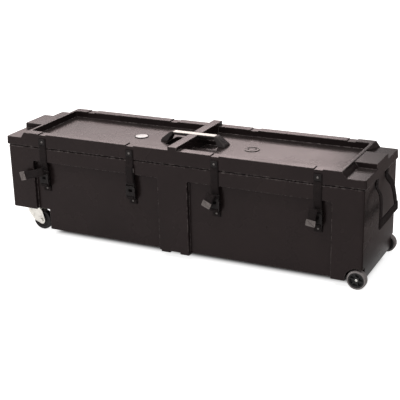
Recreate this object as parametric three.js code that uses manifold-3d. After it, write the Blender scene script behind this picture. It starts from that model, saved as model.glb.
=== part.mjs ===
// A long moulded hardware case for drum stands: a deep base and a hinged lid of thick-walled
// plastic, closed by four webbing straps with side-release buckles. It stands on two swivel
// castors at the left end and two fixed corner wheels at the right end.
// Units are millimetres, +X runs to the fixed-wheel end, -Y is the front, +Z is up.

import * as THREE from "three";
import { mergeVertices } from "three/addons/utils/BufferGeometryUtils.js";
import Module from "manifold-3d";

// Case
const caseLength = 1320;
const caseDepth = 358;
const baseBottom = 24;
const baseTop = 332.5;
const seamGap = 1.5;
const wall = 5;
const cornerRadius = 10;

// Base
const panelRecess = 15;
const panelTop = 282;
const endPillar = 103;
const middlePillar = 111;
const bayLength = 147;
const bayCeiling = 99;
const rimBandHeight = 15;
const lipInset = 6;
const lipWidth = 3;
const lipHeight = 8.5;
const stackingFootWidth = 34;
const stackingFootHeight = 6;

// Lid
const lidStepTop = 364;
const lidRimTop = 384;
const lidCornerRadius = 8;
const lidOverhang = 6;
const lidDraft = 0.067;
const lidRimInset = 72.5;
const lidSlope = 15;
const rimWidth = 35;
const endRimWidth = 11;
const trayFloor = 361;
const wellHalfLength = 94;
const wellHalfWidth = 46;
const wellFloor = 345;
const lugHalfWidth = 60;
const lugTop = 382;
const ribCentre = 4;
const ribHalfWidth = 17;
const ribTop = 396;
const saddleHalfLength = 30;
const strapNotchWidth = 31;
const strapNotchDepth = 3;

// Straps and buckles
const stations = [-511, -158, 158, 511];
const webbingWidth = 28;
const webbingThickness = 2;
const lidRivetHeight = 357;
const baseRivetHeight = 184;
const rivetShankRadius = 2.5;
const rivetHeadRadius = 5.5;
const rivetHeadHeight = 2.2;
const strapTopEnd = 370;
const tuckedEnd = 288;
const buckleFront = -186;
const buckleBack = -174;
const buckleTop = 251;
const buckleJoin = 238;
const buckleBottom = 197;
const buckleHalfWidth = 17.5;
const buckleSkin = 1.4;
const buckleBarBottom = 246;
const buckleSlotLow = 201.5;
const buckleSlotHigh = 206.5;
const prongLength = 8.5;
const prongSpans = [
  [-13.5, -8.5],
  [-3, 3],
  [8.5, 13.5],
];
const tipLength = 21;
const tipWidth = 31;
const tipThickness = 5;
// Each loose end: how far its root is shifted along X, the angle it hangs at, and its free length.
const looseEnds = [
  { shift: -2, angle: 74, length: 90 },
  null,
  { shift: -8, angle: 24, length: 41 },
  { shift: -8, angle: 8, length: 50 },
];

// Hinge at the back
const hingeWebLow = 296;
const hingeWebHigh = 370;

// Wheels
const cornerWheelRadius = 32;
const cornerWheelWidth = 24;
const cornerWheelInset = 18;
const cornerHubRadius = 26;
const archClearance = 6;
const castorAxisInset = 55;
const castorFromSide = 64;
const castorTrail = 29;
const castorWheelRadius = 37.5;
const castorWheelWidth = 24;
const castorPlateThickness = 3;
const racewayRadius = 23;
const crownRadius = 25;
const crownBottom = 83;
const crownTop = 90;
const kingpinRadius = 5;
const forkThickness = 2.5;
const axleRadius = 4;
const boltHeadRadius = 7;

// Handles
const gripHalfLength = 80;
const gripWidth = 26;
const gripLow = 385.5;
const gripHigh = 395;
const handleHalfLength = 123;
const footFlare = 0.7;
const handleTabTop = 326;
const handleBottom = 183;
const handleTopHalf = 66;
const handleBottomHalf = 107;
const handleStandOff = 29.5;
const handleThickness = 3;
// How far out from the end wall the loop stands at each height, from its tabs down.
const handleBow = [
  [9, 297],
  [17, 285],
  [22.5, 262],
  [26, 225],
];

// Discs in the tray
const discHeight = 2;
const leftDisc = { x: -210, radius: 24 };
const rightDisc = { x: 214, radius: 26 };

const gap = 0.3;
const halfLength = caseLength / 2;
const halfDepth = caseDepth / 2;
const lidBottom = baseTop + seamGap;
const frontFace = -halfDepth;
const panelFace = frontFace + panelRecess;
const tailReach = frontFace - 25;
const hingeReach = halfDepth + gap + webbingThickness;

const wasm = await Module();
wasm.setup();

// A closed geometry as a solid that can be joined and cut.
function solidOf(geometry) {
  const bare = geometry.clone();
  bare.deleteAttribute("normal");
  bare.deleteAttribute("uv");
  const merged = mergeVertices(bare, 1e-4);
  const mesh = new wasm.Mesh({
    numProp: 3,
    vertProperties: merged.attributes.position.array,
    triVerts: new Uint32Array(merged.index.array),
  });
  return new wasm.Manifold(mesh);
}

function geometryOf(solid) {
  const mesh = solid.getMesh();
  const geometry = new THREE.BufferGeometry();
  geometry.setAttribute("position", new THREE.BufferAttribute(mesh.vertProperties, 3));
  geometry.setIndex(new THREE.BufferAttribute(mesh.triVerts, 1));
  const flat = geometry.toNonIndexed();
  flat.computeVertexNormals();
  return flat;
}

function block([x0, x1], [y0, y1], [z0, z1]) {
  const geometry = new THREE.BoxGeometry(x1 - x0, y1 - y0, z1 - z0);
  geometry.translate((x0 + x1) / 2, (y0 + y1) / 2, (z0 + z1) / 2);
  return solidOf(geometry);
}

function shapeOf(points) {
  return new THREE.Shape(points.map(([a, b]) => new THREE.Vector2(a, b)));
}

// The axes that an outline's own x and y, and its extrusion, turn into.
const placements = {
  x: [new THREE.Vector3(0, 1, 0), new THREE.Vector3(0, 0, 1), new THREE.Vector3(1, 0, 0)],
  y: [new THREE.Vector3(0, 0, 1), new THREE.Vector3(1, 0, 0), new THREE.Vector3(0, 1, 0)],
  z: [new THREE.Vector3(1, 0, 0), new THREE.Vector3(0, 1, 0), new THREE.Vector3(0, 0, 1)],
};

// An outline extruded along one axis. Along X it is drawn in (y, z), along Y in (z, x), along Z in (x, y).
function extruded(shape, axis, low, high) {
  const geometry = new THREE.ExtrudeGeometry(shape, {
    depth: high - low,
    bevelEnabled: false,
    curveSegments: 6,
  });
  geometry.translate(0, 0, low);
  return geometry.applyMatrix4(new THREE.Matrix4().makeBasis(...placements[axis]));
}

function prism(shape, axis, low, high) {
  return solidOf(extruded(shape, axis, low, high));
}

// The geometry with every corner moved by a rule.
function reshaped(geometry, move) {
  const corners = geometry.attributes.position;
  const corner = new THREE.Vector3();
  for (let i = 0; i < corners.count; i++) {
    corner.fromBufferAttribute(corners, i);
    move(corner);
    corners.setXYZ(i, corner.x, corner.y, corner.z);
  }
  return geometry;
}

function rod(axis, radius, low, high, [a, b], segments = 20) {
  const shape = new THREE.Shape();
  for (let i = 0; i < segments; i++) {
    const turn = (2 * Math.PI * i) / segments;
    const point = [a + radius * Math.cos(turn), b + radius * Math.sin(turn)];
    if (i === 0) shape.moveTo(...point);
    else shape.lineTo(...point);
  }
  return prism(shape, axis, low, high);
}

function roundedRectangle(halfX, halfY, radius) {
  const shape = new THREE.Shape();
  shape.moveTo(halfX - radius, -halfY);
  shape.absarc(halfX - radius, -halfY + radius, radius, -Math.PI / 2, 0);
  shape.absarc(halfX - radius, halfY - radius, radius, 0, Math.PI / 2);
  shape.absarc(-halfX + radius, halfY - radius, radius, Math.PI / 2, Math.PI);
  shape.absarc(-halfX + radius, -halfY + radius, radius, Math.PI, 1.5 * Math.PI);
  return shape;
}

// The case's plan with every side moved in.
function casePlan(inset, corner) {
  return roundedRectangle(halfLength - inset, halfDepth - inset, Math.max(corner - inset, 2));
}

function caseBlock(inset, low, high) {
  return prism(casePlan(inset, cornerRadius), "z", low, high);
}

// The lid's ends hang over the base and lean inwards as they rise.
function lidBlock(inset, low, high) {
  const upright = extruded(casePlan(inset, lidCornerRadius), "z", low, high);
  const leaning = reshaped(upright, (corner) => {
    corner.x += Math.sign(corner.x) * (lidOverhang - lidDraft * (corner.z - lidBottom));
  });
  return solidOf(leaning);
}

// A flat band of the given thickness along a chain of points, as an outline with mitred bends.
function bandOutline(points, thickness) {
  const path = points.map(([a, b]) => new THREE.Vector2(a, b));
  const sideways = path.map((point, i) => {
    const before = i > 0 ? point.clone().sub(path[i - 1]).normalize() : null;
    const after = i < path.length - 1 ? path[i + 1].clone().sub(point).normalize() : null;
    const along = new THREE.Vector2();
    if (before) along.add(before);
    if (after) along.add(after);
    along.normalize();
    const normal = new THREE.Vector2(-along.y, along.x);
    const stretch = before && after ? 1 / Math.sqrt((1 + before.dot(after)) / 2) : 1;
    return normal.multiplyScalar((thickness / 2) * stretch);
  });
  const left = path.map((point, i) => point.clone().add(sideways[i]));
  const right = path.map((point, i) => point.clone().sub(sideways[i]));
  return new THREE.Shape([...right, ...left.reverse()]);
}

function band(points, axis, low, high, thickness = webbingThickness) {
  return prism(bandOutline(points, thickness), axis, low, high);
}

// A turned piece on an axis along Y through (x, z). The profile is [radius, y] from low y to high y.
function turned(profile, x, z, segments = 28) {
  const points = profile.map(([radius, y]) => new THREE.Vector2(radius, y));
  const geometry = new THREE.LatheGeometry(points, segments);
  geometry.translate(x, 0, z);
  return solidOf(geometry);
}

function material(color, roughness, metalness = 0) {
  return new THREE.MeshStandardMaterial({ color, roughness, metalness });
}

const finishes = {
  shell: material(0x2c2827, 0.42),
  webbing: material(0x171616, 0.85),
  buckle: material(0x1d1b1b, 0.45),
  tip: material(0x77716f, 0.5),
  rivet: material(0xc9c8c6, 0.3, 1),
  grip: material(0xd8d4cf, 0.25),
  handleFoot: material(0x211f1f, 0.6),
  disc: material(0xe8e6e3, 0.35),
  emblem: material(0x2a2726, 0.35),
  hub: material(0x191818, 0.5),
  tyre: material(0x8f8583, 0.7),
  zinc: material(0xcfccc2, 0.35, 1),
  castorWheel: material(0x141313, 0.6),
};

const part = new THREE.Group();
const hardwareCase = new THREE.Group();
// The straps reach further out in front than the hinges do behind, so the case sits back a little.
hardwareCase.position.y = (-tailReach - hingeReach) / 2;
part.add(hardwareCase);

function place(name, solid, finish) {
  const mesh = new THREE.Mesh(geometryOf(solid), finishes[finish]);
  mesh.name = name;
  hardwareCase.add(mesh);
}

const sides = [
  { name: "front", sign: -1 },
  { name: "rear", sign: 1 },
];
const cornerWheelX = halfLength - cornerWheelInset;
const archDepth = cornerWheelWidth + archClearance;
const castorX = -halfLength + castorAxisInset;

function depthRange(sign, from, to) {
  return sign < 0 ? [-to, -from] : [from, to];
}

function rivetHoles(x, z, low, high) {
  return rod("y", rivetShankRadius + gap, low, high, [z, x], 12);
}

// The base's outside, with every surface moved in. With no inset it is the moulding's outer skin.
function baseForm(inset) {
  let form = caseBlock(inset, baseBottom + inset, baseTop + 1);
  const panels = [
    [-halfLength + endPillar, -middlePillar / 2],
    [middlePillar / 2, halfLength - endPillar],
  ];
  for (const { sign } of sides) {
    for (const [low, high] of panels) {
      const across = depthRange(sign, halfDepth - panelRecess - inset, halfDepth + 1);
      form = form.subtract(block([low - inset, high + inset], across, [0, panelTop + inset]));
    }
    const arch = depthRange(sign, halfDepth - archDepth - inset, halfDepth + 1);
    const radius = cornerWheelRadius + archClearance + inset;
    form = form.subtract(rod("y", radius, ...arch, [cornerWheelRadius, cornerWheelX], 32));
  }
  const bay = block(
    [-halfLength - 1, -halfLength + bayLength + inset],
    [-halfDepth - 1, halfDepth + 1],
    [0, bayCeiling + inset],
  );
  return form.subtract(bay);
}

function baseShell() {
  const bandBottom = baseTop - rimBandHeight;
  const lipInner = lipInset + lipWidth;
  const below = block([-halfLength, halfLength], [-halfDepth, halfDepth], [0, bandBottom]);
  let shell = baseForm(0).intersect(caseBlock(0, 0, baseTop));
  shell = shell.subtract(baseForm(wall).intersect(below));
  shell = shell.add(caseBlock(lipInset, baseTop - 1, baseTop + lipHeight));
  shell = shell.subtract(caseBlock(lipInner, bandBottom - 1, baseTop + lipHeight + 1));
  for (const edge of [-1, 1]) {
    const inner = ribCentre + edge * (ribHalfWidth + 2);
    const outer = inner + edge * stackingFootWidth;
    const across = [Math.min(inner, outer), Math.max(inner, outer)];
    const heights = [baseBottom - stackingFootHeight, baseBottom + 1];
    shell = shell.add(block(across, [-halfDepth, halfDepth], heights));
  }
  for (const x of stations) {
    shell = shell.subtract(rivetHoles(x, baseRivetHeight, panelFace - 1, panelFace + wall + 1));
  }
  for (const { sign } of sides) {
    const through = depthRange(sign, halfDepth - archDepth - wall - 1, halfDepth - archDepth + 1);
    shell = shell.subtract(rod("y", axleRadius + gap, ...through, [cornerWheelRadius, cornerWheelX]));
  }
  return shell;
}

// The lid's outside, with every surface moved in.
function lidForm(inset) {
  const rimHalf = halfLength - lidRimInset - inset;
  const slopeFoot = halfLength - lidRimInset + lidSlope - inset;
  const ends = halfLength + 21;
  const low = lidBottom - (inset ? 1 : 0);
  const outline = shapeOf([
    [low, -ends],
    [low, ends],
    [lidStepTop - inset, ends],
    [lidStepTop - inset, slopeFoot],
    [lidRimTop - inset, rimHalf],
    [lidRimTop - inset, -rimHalf],
    [lidStepTop - inset, -slopeFoot],
    [lidStepTop - inset, -ends],
  ]);
  let form = prism(outline, "y", -halfDepth + inset, halfDepth - inset);
  for (const edge of [-1, 1]) {
    const across = edge < 0 ? [-ends, -rimHalf + 1] : [rimHalf - 1, ends];
    const widths = [-lugHalfWidth + inset, lugHalfWidth - inset];
    form = form.add(block(across, widths, [lidStepTop - wall - inset, lugTop - inset]));
  }
  form = form.intersect(lidBlock(inset, low - 1, ribTop));
  const trayHalfLength = halfLength - lidRimInset - endRimWidth + inset;
  const trayHalfDepth = halfDepth - rimWidth + inset;
  const tray = block(
    [-trayHalfLength, trayHalfLength],
    [-trayHalfDepth, trayHalfDepth],
    [trayFloor - inset, ribTop],
  );
  const well = block(
    [-wellHalfLength - inset, wellHalfLength + inset],
    [-wellHalfWidth - inset, wellHalfWidth + inset],
    [wellFloor - inset, ribTop],
  );
  form = form.subtract(tray).subtract(well);
  const ribAcross = [ribCentre - ribHalfWidth + inset, ribCentre + ribHalfWidth - inset];
  const ribAlong = [-halfDepth + inset, halfDepth - inset];
  form = form.add(block(ribAcross, ribAlong, [trayFloor - wall - inset, ribTop - inset]));
  const ribInWell = [-wellHalfWidth - wall, wellHalfWidth + wall];
  form = form.add(block(ribAcross, ribInWell, [wellFloor - wall - inset, ribTop - inset]));
  const saddle = block(
    [ribCentre - saddleHalfLength, ribCentre + saddleHalfLength],
    [-gripWidth / 2 - 3 - inset, gripWidth / 2 + 3 + inset],
    [gripLow - 2.5 - inset, ribTop + 1],
  );
  form = form.subtract(saddle);
  for (const x of stations) {
    for (const { sign } of sides) {
      const half = strapNotchWidth / 2 + inset;
      const across = depthRange(sign, halfDepth - rimWidth - 1, halfDepth + 1);
      const depths = [lidRimTop - strapNotchDepth - inset, ribTop];
      form = form.subtract(block([x - half, x + half], across, depths));
    }
  }
  return form;
}

function lidShell() {
  let shell = lidForm(0).subtract(lidForm(wall));
  for (const x of stations) {
    shell = shell.subtract(rivetHoles(x, lidRivetHeight, frontFace - 1, frontFace + wall + 1));
  }
  return shell;
}

// Top handle: a flat grip bar held between two sloping end caps.
function handleGrip() {
  const outline = roundedRectangle(gripHalfLength - gap, gripWidth / 2, 2);
  return prism(outline, "z", gripLow, gripHigh);
}

function handleFoot(edge) {
  const floor = trayFloor + gap;
  const outline = shapeOf([
    [floor, edge * handleHalfLength],
    [floor + 7, edge * (handleHalfLength - 2)],
    [gripHigh - 1, edge * (handleHalfLength - 32)],
    [gripHigh + 0.8, edge * (handleHalfLength - 37)],
    [gripHigh + 0.8, edge * gripHalfLength],
    [gripLow - 3, edge * gripHalfLength],
    [gripLow - 5, edge * (gripHalfLength + 5)],
    [floor, edge * (gripHalfLength + 16)],
  ]);
  const even = extruded(outline, "y", -gripWidth / 2 - 1, gripWidth / 2 + 1);
  const flared = reshaped(even, (corner) => {
    corner.y *= 1 + (footFlare * (gripHigh - corner.z)) / (gripHigh - floor);
  });
  return solidOf(flared);
}

function disc({ x, radius }) {
  const floor = trayFloor + gap;
  return rod("z", radius, floor, floor + discHeight, [x, 0], 32);
}

// Rivet along Y: a domed head outside, a shank, and a clenched end inside.
function rivet(x, z, outerFace, innerFace) {
  const head = outerFace - gap;
  const clenched = rivetHeadRadius * 0.8;
  const profile = [
    [0, head - rivetHeadHeight],
    [rivetHeadRadius * 0.7, head - rivetHeadHeight * 0.8],
    [rivetHeadRadius, head],
    [rivetShankRadius, head],
    [rivetShankRadius, innerFace + gap],
    [clenched, innerFace + gap],
    [0, innerFace + 1.6],
  ];
  return turned(profile, x, z, 12);
}

const strapFace = frontFace - gap - webbingThickness / 2;
const behindBar = buckleBack - 2.2;
const beforeBar = buckleFront + 2.2;
const barPass = 244;
const rootFace = buckleFront - 1.8;

// The strap: riveted to the lid, down over the seam and round the bar of the buckle.
function lidStrap(index) {
  const x = stations[index];
  const end = looseEnds[index];
  const path = end
    ? [
        [strapFace, strapTopEnd],
        [strapFace, panelTop - 1],
        [behindBar, 255],
        [behindBar, barPass],
        [beforeBar, barPass],
        [beforeBar, 249],
        [rootFace, 253.5],
      ]
    : [
        [strapFace, strapTopEnd],
        [strapFace, 320],
        [strapFace - 6.5, 308],
        [strapFace - 6.5, 285],
        [beforeBar, 262],
        [beforeBar, barPass],
        [behindBar, barPass],
        [behindBar, 256],
        [strapFace, 270],
        [strapFace, tuckedEnd],
      ];
  let strap = band(path, "x", x - webbingWidth / 2, x + webbingWidth / 2);
  strap = strap.subtract(rivetHoles(x, lidRivetHeight, strapFace - 3, strapFace + 3));
  if (end) strap = strap.add(hangAt(x, end, tailBand(end)));
  return strap;
}

// A loose end hangs over the front of its buckle, drawn pointing straight down from the bar.
function tailBand({ length }) {
  const path = [
    [rootFace, 12],
    [rootFace, -2],
    [tailReach + 4, -14],
    [tailReach + tipThickness / 2, -length + tipLength],
    [tailReach + tipThickness / 2, -length + 4],
  ];
  return band(path, "x", -webbingWidth / 2, webbingWidth / 2);
}

function hangAt(x, { shift, angle }, solid) {
  return solid.rotate([0, angle, 0]).translate([x + shift, 0, buckleTop]);
}

// The folded plastic clip on a loose end, with a pocket that takes the webbing.
function tipClip(middle, low) {
  const half = tipThickness / 2;
  const pocket = webbingThickness / 2 + gap;
  const across = [-tipWidth / 2, tipWidth / 2];
  const body = block(across, [middle - half, middle + half], [low, low + tipLength]);
  const slot = block(
    [-webbingWidth / 2 - gap, webbingWidth / 2 + gap],
    [middle - pocket, middle + pocket],
    [low + 4 - gap, low + tipLength + 1],
  );
  return body.subtract(slot);
}

// The clip of the end that is tucked up behind its own strap, where only a thin one fits.
function tuckedClip() {
  const top = tuckedEnd + 18;
  const face = strapFace - webbingThickness / 2;
  const across = [-tipWidth / 2, tipWidth / 2];
  const plate = block(across, [face - 1.4, face - gap], [tuckedEnd + 2, top]);
  const half = webbingWidth / 2;
  return plate.add(block([-half, half], [face - 1, face + webbingThickness], [tuckedEnd + gap, top]));
}

function tailTip(index) {
  const x = stations[index];
  const end = looseEnds[index];
  if (!end) return tuckedClip().translate([x, 0, 0]);
  return hangAt(x, end, tipClip(tailReach + tipThickness / 2, -end.length));
}

// The buckle's upper half: a frame with the strap's bar, and three short prongs below.
function buckleMale(x) {
  const halfWidth = buckleHalfWidth - 1;
  const low = buckleJoin + gap / 2;
  const window = webbingWidth / 2 + 0.8;
  const bar = window + 0.5;
  const through = [buckleFront - 1, buckleBack + 1];
  const barDepth = [buckleFront + 3.5, buckleBack - 3.5];
  const prongDepth = [buckleBack - 7.5, buckleBack - 2];
  const prongHeights = [buckleJoin - prongLength, low + 1];
  let male = block([-halfWidth, halfWidth], [buckleFront, buckleBack], [low, buckleTop]);
  male = male.subtract(block([-window, window], through, [low + 3.4, buckleTop + 1]));
  male = male.add(block([-bar, bar], barDepth, [buckleBarBottom, buckleTop]));
  for (const span of prongSpans) {
    male = male.add(block(span, prongDepth, prongHeights));
  }
  return male.translate([x, 0, 0]);
}

// The buckle's lower half: a hollow body open at the top, with a front window and a strap slot.
function buckleFemale(x) {
  const top = buckleJoin - gap / 2;
  const depth = [buckleFront, buckleBack];
  const socketHalf = buckleHalfWidth - 2.3;
  const socketDepth = [buckleFront + buckleSkin, buckleBack - buckleSkin];
  const slotHalf = webbingWidth / 2 + 0.8;
  const through = [buckleFront - 1, buckleBack + 1];
  let female = block([-buckleHalfWidth, buckleHalfWidth], depth, [buckleBottom, top]);
  female = female.subtract(block([-socketHalf, socketHalf], socketDepth, [buckleJoin - 13, top + 1]));
  female = female.subtract(block([-9, 9], [buckleFront - 1, buckleFront + 2], [221, 231]));
  female = female.subtract(block([-slotHalf, slotHalf], through, [buckleSlotLow, buckleSlotHigh]));
  return female.translate([x, 0, 0]);
}

// The short web that holds the buckle's lower half to the recessed panel.
function anchorWeb(x) {
  const face = panelFace - gap - webbingThickness / 2;
  const slotMiddle = (buckleSlotLow + buckleSlotHigh) / 2;
  const path = [
    [face, baseRivetHeight - 12],
    [face, baseRivetHeight + 6],
    [buckleBack + 1.7, slotMiddle - 6],
    [buckleBack + 1.7, slotMiddle],
    [buckleFront + 3, slotMiddle],
  ];
  const web = band(path, "x", x - webbingWidth / 2, x + webbingWidth / 2);
  return web.subtract(rivetHoles(x, baseRivetHeight, face - 3, face + 3));
}

function hingeWeb(x, low, high) {
  const face = halfDepth + gap;
  const across = [x - webbingWidth / 2, x + webbingWidth / 2];
  return block(across, [face, face + webbingThickness], [low, high]);
}

// Corner wheel: a dished hub with a thick rim, a separate tyre ring, and a bolt for an axle.
function cornerHub(sign) {
  const outer = sign * halfDepth;
  const at = (inward) => outer - sign * inward;
  const bore = axleRadius + gap;
  const profile = [
    [bore, at(cornerWheelWidth - 2)],
    [10, at(cornerWheelWidth - 2)],
    [12, at(cornerWheelWidth - 7)],
    [20, at(cornerWheelWidth - 7)],
    [22, at(cornerWheelWidth - 2)],
    [cornerHubRadius, at(cornerWheelWidth - 2)],
    [cornerHubRadius, at(2)],
    [22, at(2)],
    [20, at(6)],
    [12, at(6)],
    [10, at(3)],
    [bore, at(3)],
    [bore, at(cornerWheelWidth - 2)],
  ];
  if (sign > 0) profile.reverse();
  return turned(profile.reverse(), cornerWheelX, cornerWheelRadius);
}

function cornerTyre(sign) {
  const outer = sign * halfDepth;
  const at = (inward) => outer - sign * inward;
  const bore = cornerHubRadius + gap;
  const profile = [
    [bore, at(cornerWheelWidth)],
    [cornerWheelRadius - 3, at(cornerWheelWidth)],
    [cornerWheelRadius, at(cornerWheelWidth - 4)],
    [cornerWheelRadius, at(4)],
    [cornerWheelRadius - 3, at(0)],
    [bore, at(0)],
    [bore, at(cornerWheelWidth)],
  ];
  if (sign > 0) profile.reverse();
  return turned(profile.reverse(), cornerWheelX, cornerWheelRadius);
}

function cornerAxle(sign) {
  const centre = [cornerWheelRadius, cornerWheelX];
  const archWall = halfDepth - archDepth;
  const shaft = depthRange(sign, archWall - wall + 0.5, halfDepth - 1);
  const head = depthRange(sign, halfDepth - 3 + gap, halfDepth);
  const collar = depthRange(sign, archWall + gap, halfDepth - cornerWheelWidth + 2 - gap);
  return rod("y", axleRadius, ...shaft, centre)
    .add(rod("y", boltHeadRadius - 1, ...head, centre))
    .add(rod("y", boltHeadRadius, ...collar, centre));
}

// Castor: a fixed top plate with a kingpin, a swivelling fork, a wheel and its bolt.
function castorPlate(y) {
  const top = bayCeiling - gap;
  return prism(roundedRectangle(42, 32, 6), "z", top - castorPlateThickness, top)
    .add(rod("z", racewayRadius, crownTop, top - 1, [0, 0], 28))
    .add(rod("z", kingpinRadius, crownBottom - 2, crownTop + 1, [0, 0]))
    .translate([castorX, y, 0]);
}

function castorFork(y) {
  const crown = rod("z", crownRadius, crownBottom, crownTop - gap, [0, 0], 28);
  const tipRadius = 15;
  const leg = new THREE.Shape();
  leg.moveTo(crownBottom + 1, -27);
  leg.lineTo(70, -28);
  leg.lineTo(38, -4);
  leg.absarc(castorWheelRadius, castorTrail, tipRadius, -2.3, 0.2, true);
  leg.lineTo(74, castorTrail + 5);
  leg.lineTo(crownBottom + 1, 26);
  const half = castorWheelWidth / 2 + 2;
  const outside = half + forkThickness;
  const legs = prism(leg, "y", -outside, outside);
  const between = block([-60, 60], [-half, half], [0, crownBottom - 4.5]);
  let fork = crown.add(legs.subtract(between));
  fork = fork.subtract(rod("z", kingpinRadius + gap, 70, crownTop + 5, [0, 0]));
  const bolt = [castorWheelRadius, castorTrail];
  fork = fork.subtract(rod("y", axleRadius + gap, -outside - 1, outside + 1, bolt));
  return fork.translate([castorX, y, 0]);
}

function castorWheel(y) {
  const half = castorWheelWidth / 2;
  const bore = axleRadius + gap;
  const profile = [
    [bore, -half - 1],
    [11, -half - 1],
    [13, -half + 4],
    [25, -half + 4],
    [27, -half],
    [castorWheelRadius - 4, -half],
    [castorWheelRadius, -half + 5],
    [castorWheelRadius, half - 5],
    [castorWheelRadius - 4, half],
    [27, half],
    [25, half - 4],
    [13, half - 4],
    [11, half + 1],
    [bore, half + 1],
    [bore, -half - 1],
  ];
  return turned(profile, castorX + castorTrail, castorWheelRadius).translate([0, y, 0]);
}

function castorAxle(y) {
  const outside = castorWheelWidth / 2 + 2 + forkThickness + gap;
  const centre = [castorWheelRadius, castorX + castorTrail];
  return rod("y", axleRadius, -outside - 3, outside + 5, centre)
    .add(rod("y", boltHeadRadius, -outside - 4, -outside, centre, 6))
    .add(rod("y", boltHeadRadius, outside, outside + 5, centre, 6))
    .translate([0, y, 0]);
}

// End handle: a loop of doubled webbing, flat on the end wall at its two tabs and bowed out below.
function endHandle(edge) {
  const slant = (handleBottomHalf - handleTopHalf) / (handleTabTop - handleBottom);
  const inner = (z) => handleTopHalf - webbingWidth + slant * (handleTabTop - z);
  const foldTop = handleBottom + webbingWidth;
  const seen = shapeOf([
    [-handleBottomHalf + 6, handleBottom],
    [handleBottomHalf - 6, handleBottom],
    [handleBottomHalf, handleBottom + 6],
    [handleTopHalf, handleTabTop],
    [inner(handleTabTop), handleTabTop],
    [inner(foldTop), foldTop],
    [-inner(foldTop), foldTop],
    [-inner(handleTabTop), handleTabTop],
    [-handleTopHalf, handleTabTop],
    [-handleBottomHalf, handleBottom + 6],
  ]);
  const start = gap + 0.2 + handleThickness / 2;
  const path = [
    [start, handleTabTop + 5],
    [start, 306],
    ...handleBow,
    [handleStandOff - handleThickness / 2, handleBottom - 5],
  ];
  const side = path.map(([out, z]) => [z, edge * (halfLength + out)]);
  const outline = prism(seen, "x", -halfLength - 80, halfLength + 80);
  return outline.intersect(band(side, "y", -200, 200, handleThickness));
}

place("base_shell", baseShell(), "shell");
place("lid_shell", lidShell(), "shell");
place("top_handle_grip", handleGrip(), "grip");
place("top_handle_foot_left", handleFoot(-1), "handleFoot");
place("top_handle_foot_right", handleFoot(1), "handleFoot");
place("badge_disc", disc(leftDisc), "disc");
place("emblem_disc", disc(rightDisc), "emblem");

stations.forEach((x, index) => {
  const number = index + 1;
  const webOuter = panelFace - gap - webbingThickness;
  place(`lid_strap_${number}`, lidStrap(index), "webbing");
  place(`tail_tip_${number}`, tailTip(index), "tip");
  place(`buckle_male_${number}`, buckleMale(x), "buckle");
  place(`buckle_female_${number}`, buckleFemale(x), "buckle");
  place(`anchor_web_${number}`, anchorWeb(x), "webbing");
  const lidOuter = frontFace - gap - webbingThickness;
  place(`lid_rivet_${number}`, rivet(x, lidRivetHeight, lidOuter, frontFace + wall), "rivet");
  place(`base_rivet_${number}`, rivet(x, baseRivetHeight, webOuter, panelFace + wall), "rivet");
  place(`hinge_web_lower_${number}`, hingeWeb(x, hingeWebLow, baseTop), "webbing");
  place(`hinge_web_upper_${number}`, hingeWeb(x, lidBottom, hingeWebHigh), "webbing");
});

for (const { name, sign } of sides) {
  const castorY = sign * (halfDepth - castorFromSide);
  place(`corner_wheel_${name}`, cornerHub(sign), "hub");
  place(`corner_tyre_${name}`, cornerTyre(sign), "tyre");
  place(`corner_axle_${name}`, cornerAxle(sign), "zinc");
  place(`castor_plate_${name}`, castorPlate(castorY), "zinc");
  place(`castor_fork_${name}`, castorFork(castorY), "zinc");
  place(`castor_wheel_${name}`, castorWheel(castorY), "castorWheel");
  place(`castor_axle_${name}`, castorAxle(castorY), "zinc");
}

place("end_handle_right", endHandle(1), "webbing");
place("end_handle_left", endHandle(-1), "webbing");

export default part;
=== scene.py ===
# %% [markdown]
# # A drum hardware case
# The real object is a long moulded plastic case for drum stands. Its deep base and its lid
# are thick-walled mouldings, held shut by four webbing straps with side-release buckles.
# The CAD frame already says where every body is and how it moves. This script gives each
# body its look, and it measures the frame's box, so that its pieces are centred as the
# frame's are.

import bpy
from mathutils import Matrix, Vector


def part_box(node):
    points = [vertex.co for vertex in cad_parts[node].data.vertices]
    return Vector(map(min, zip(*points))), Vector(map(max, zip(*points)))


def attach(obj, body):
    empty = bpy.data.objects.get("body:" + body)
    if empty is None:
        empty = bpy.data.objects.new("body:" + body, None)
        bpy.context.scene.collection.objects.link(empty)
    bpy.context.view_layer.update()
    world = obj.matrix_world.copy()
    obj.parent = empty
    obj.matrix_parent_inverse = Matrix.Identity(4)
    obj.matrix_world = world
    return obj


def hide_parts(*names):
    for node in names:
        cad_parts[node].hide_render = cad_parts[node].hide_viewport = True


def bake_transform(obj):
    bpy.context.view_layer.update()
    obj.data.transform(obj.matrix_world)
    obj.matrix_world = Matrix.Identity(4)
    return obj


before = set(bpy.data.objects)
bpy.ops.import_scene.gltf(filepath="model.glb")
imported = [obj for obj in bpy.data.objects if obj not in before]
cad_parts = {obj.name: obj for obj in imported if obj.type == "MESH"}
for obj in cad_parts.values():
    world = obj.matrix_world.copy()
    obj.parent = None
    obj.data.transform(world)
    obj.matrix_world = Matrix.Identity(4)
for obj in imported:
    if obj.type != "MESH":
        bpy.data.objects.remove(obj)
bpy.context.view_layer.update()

# %% [markdown]
# ## Camera
# The photograph was taken from the front right and a little above, with a long lens. A
# camera could be aimed with a tracking constraint, but a plain matrix keeps its small
# roll. Three directions, right, up and back, fill the matrix.

# %% Camera
import math

import bmesh
import bpy
from mathutils import Matrix, Vector

eye = Vector((1.4736, -2.8888, 1.3324))
target = Vector((0.0135, 0.01135, 0.1535))
roll = math.radians(-1.4537)


def linked(name, data):
    """A new object with this data, in the scene."""
    thing = bpy.data.objects.new(name, data)
    bpy.context.scene.collection.objects.link(thing)
    return thing


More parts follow.
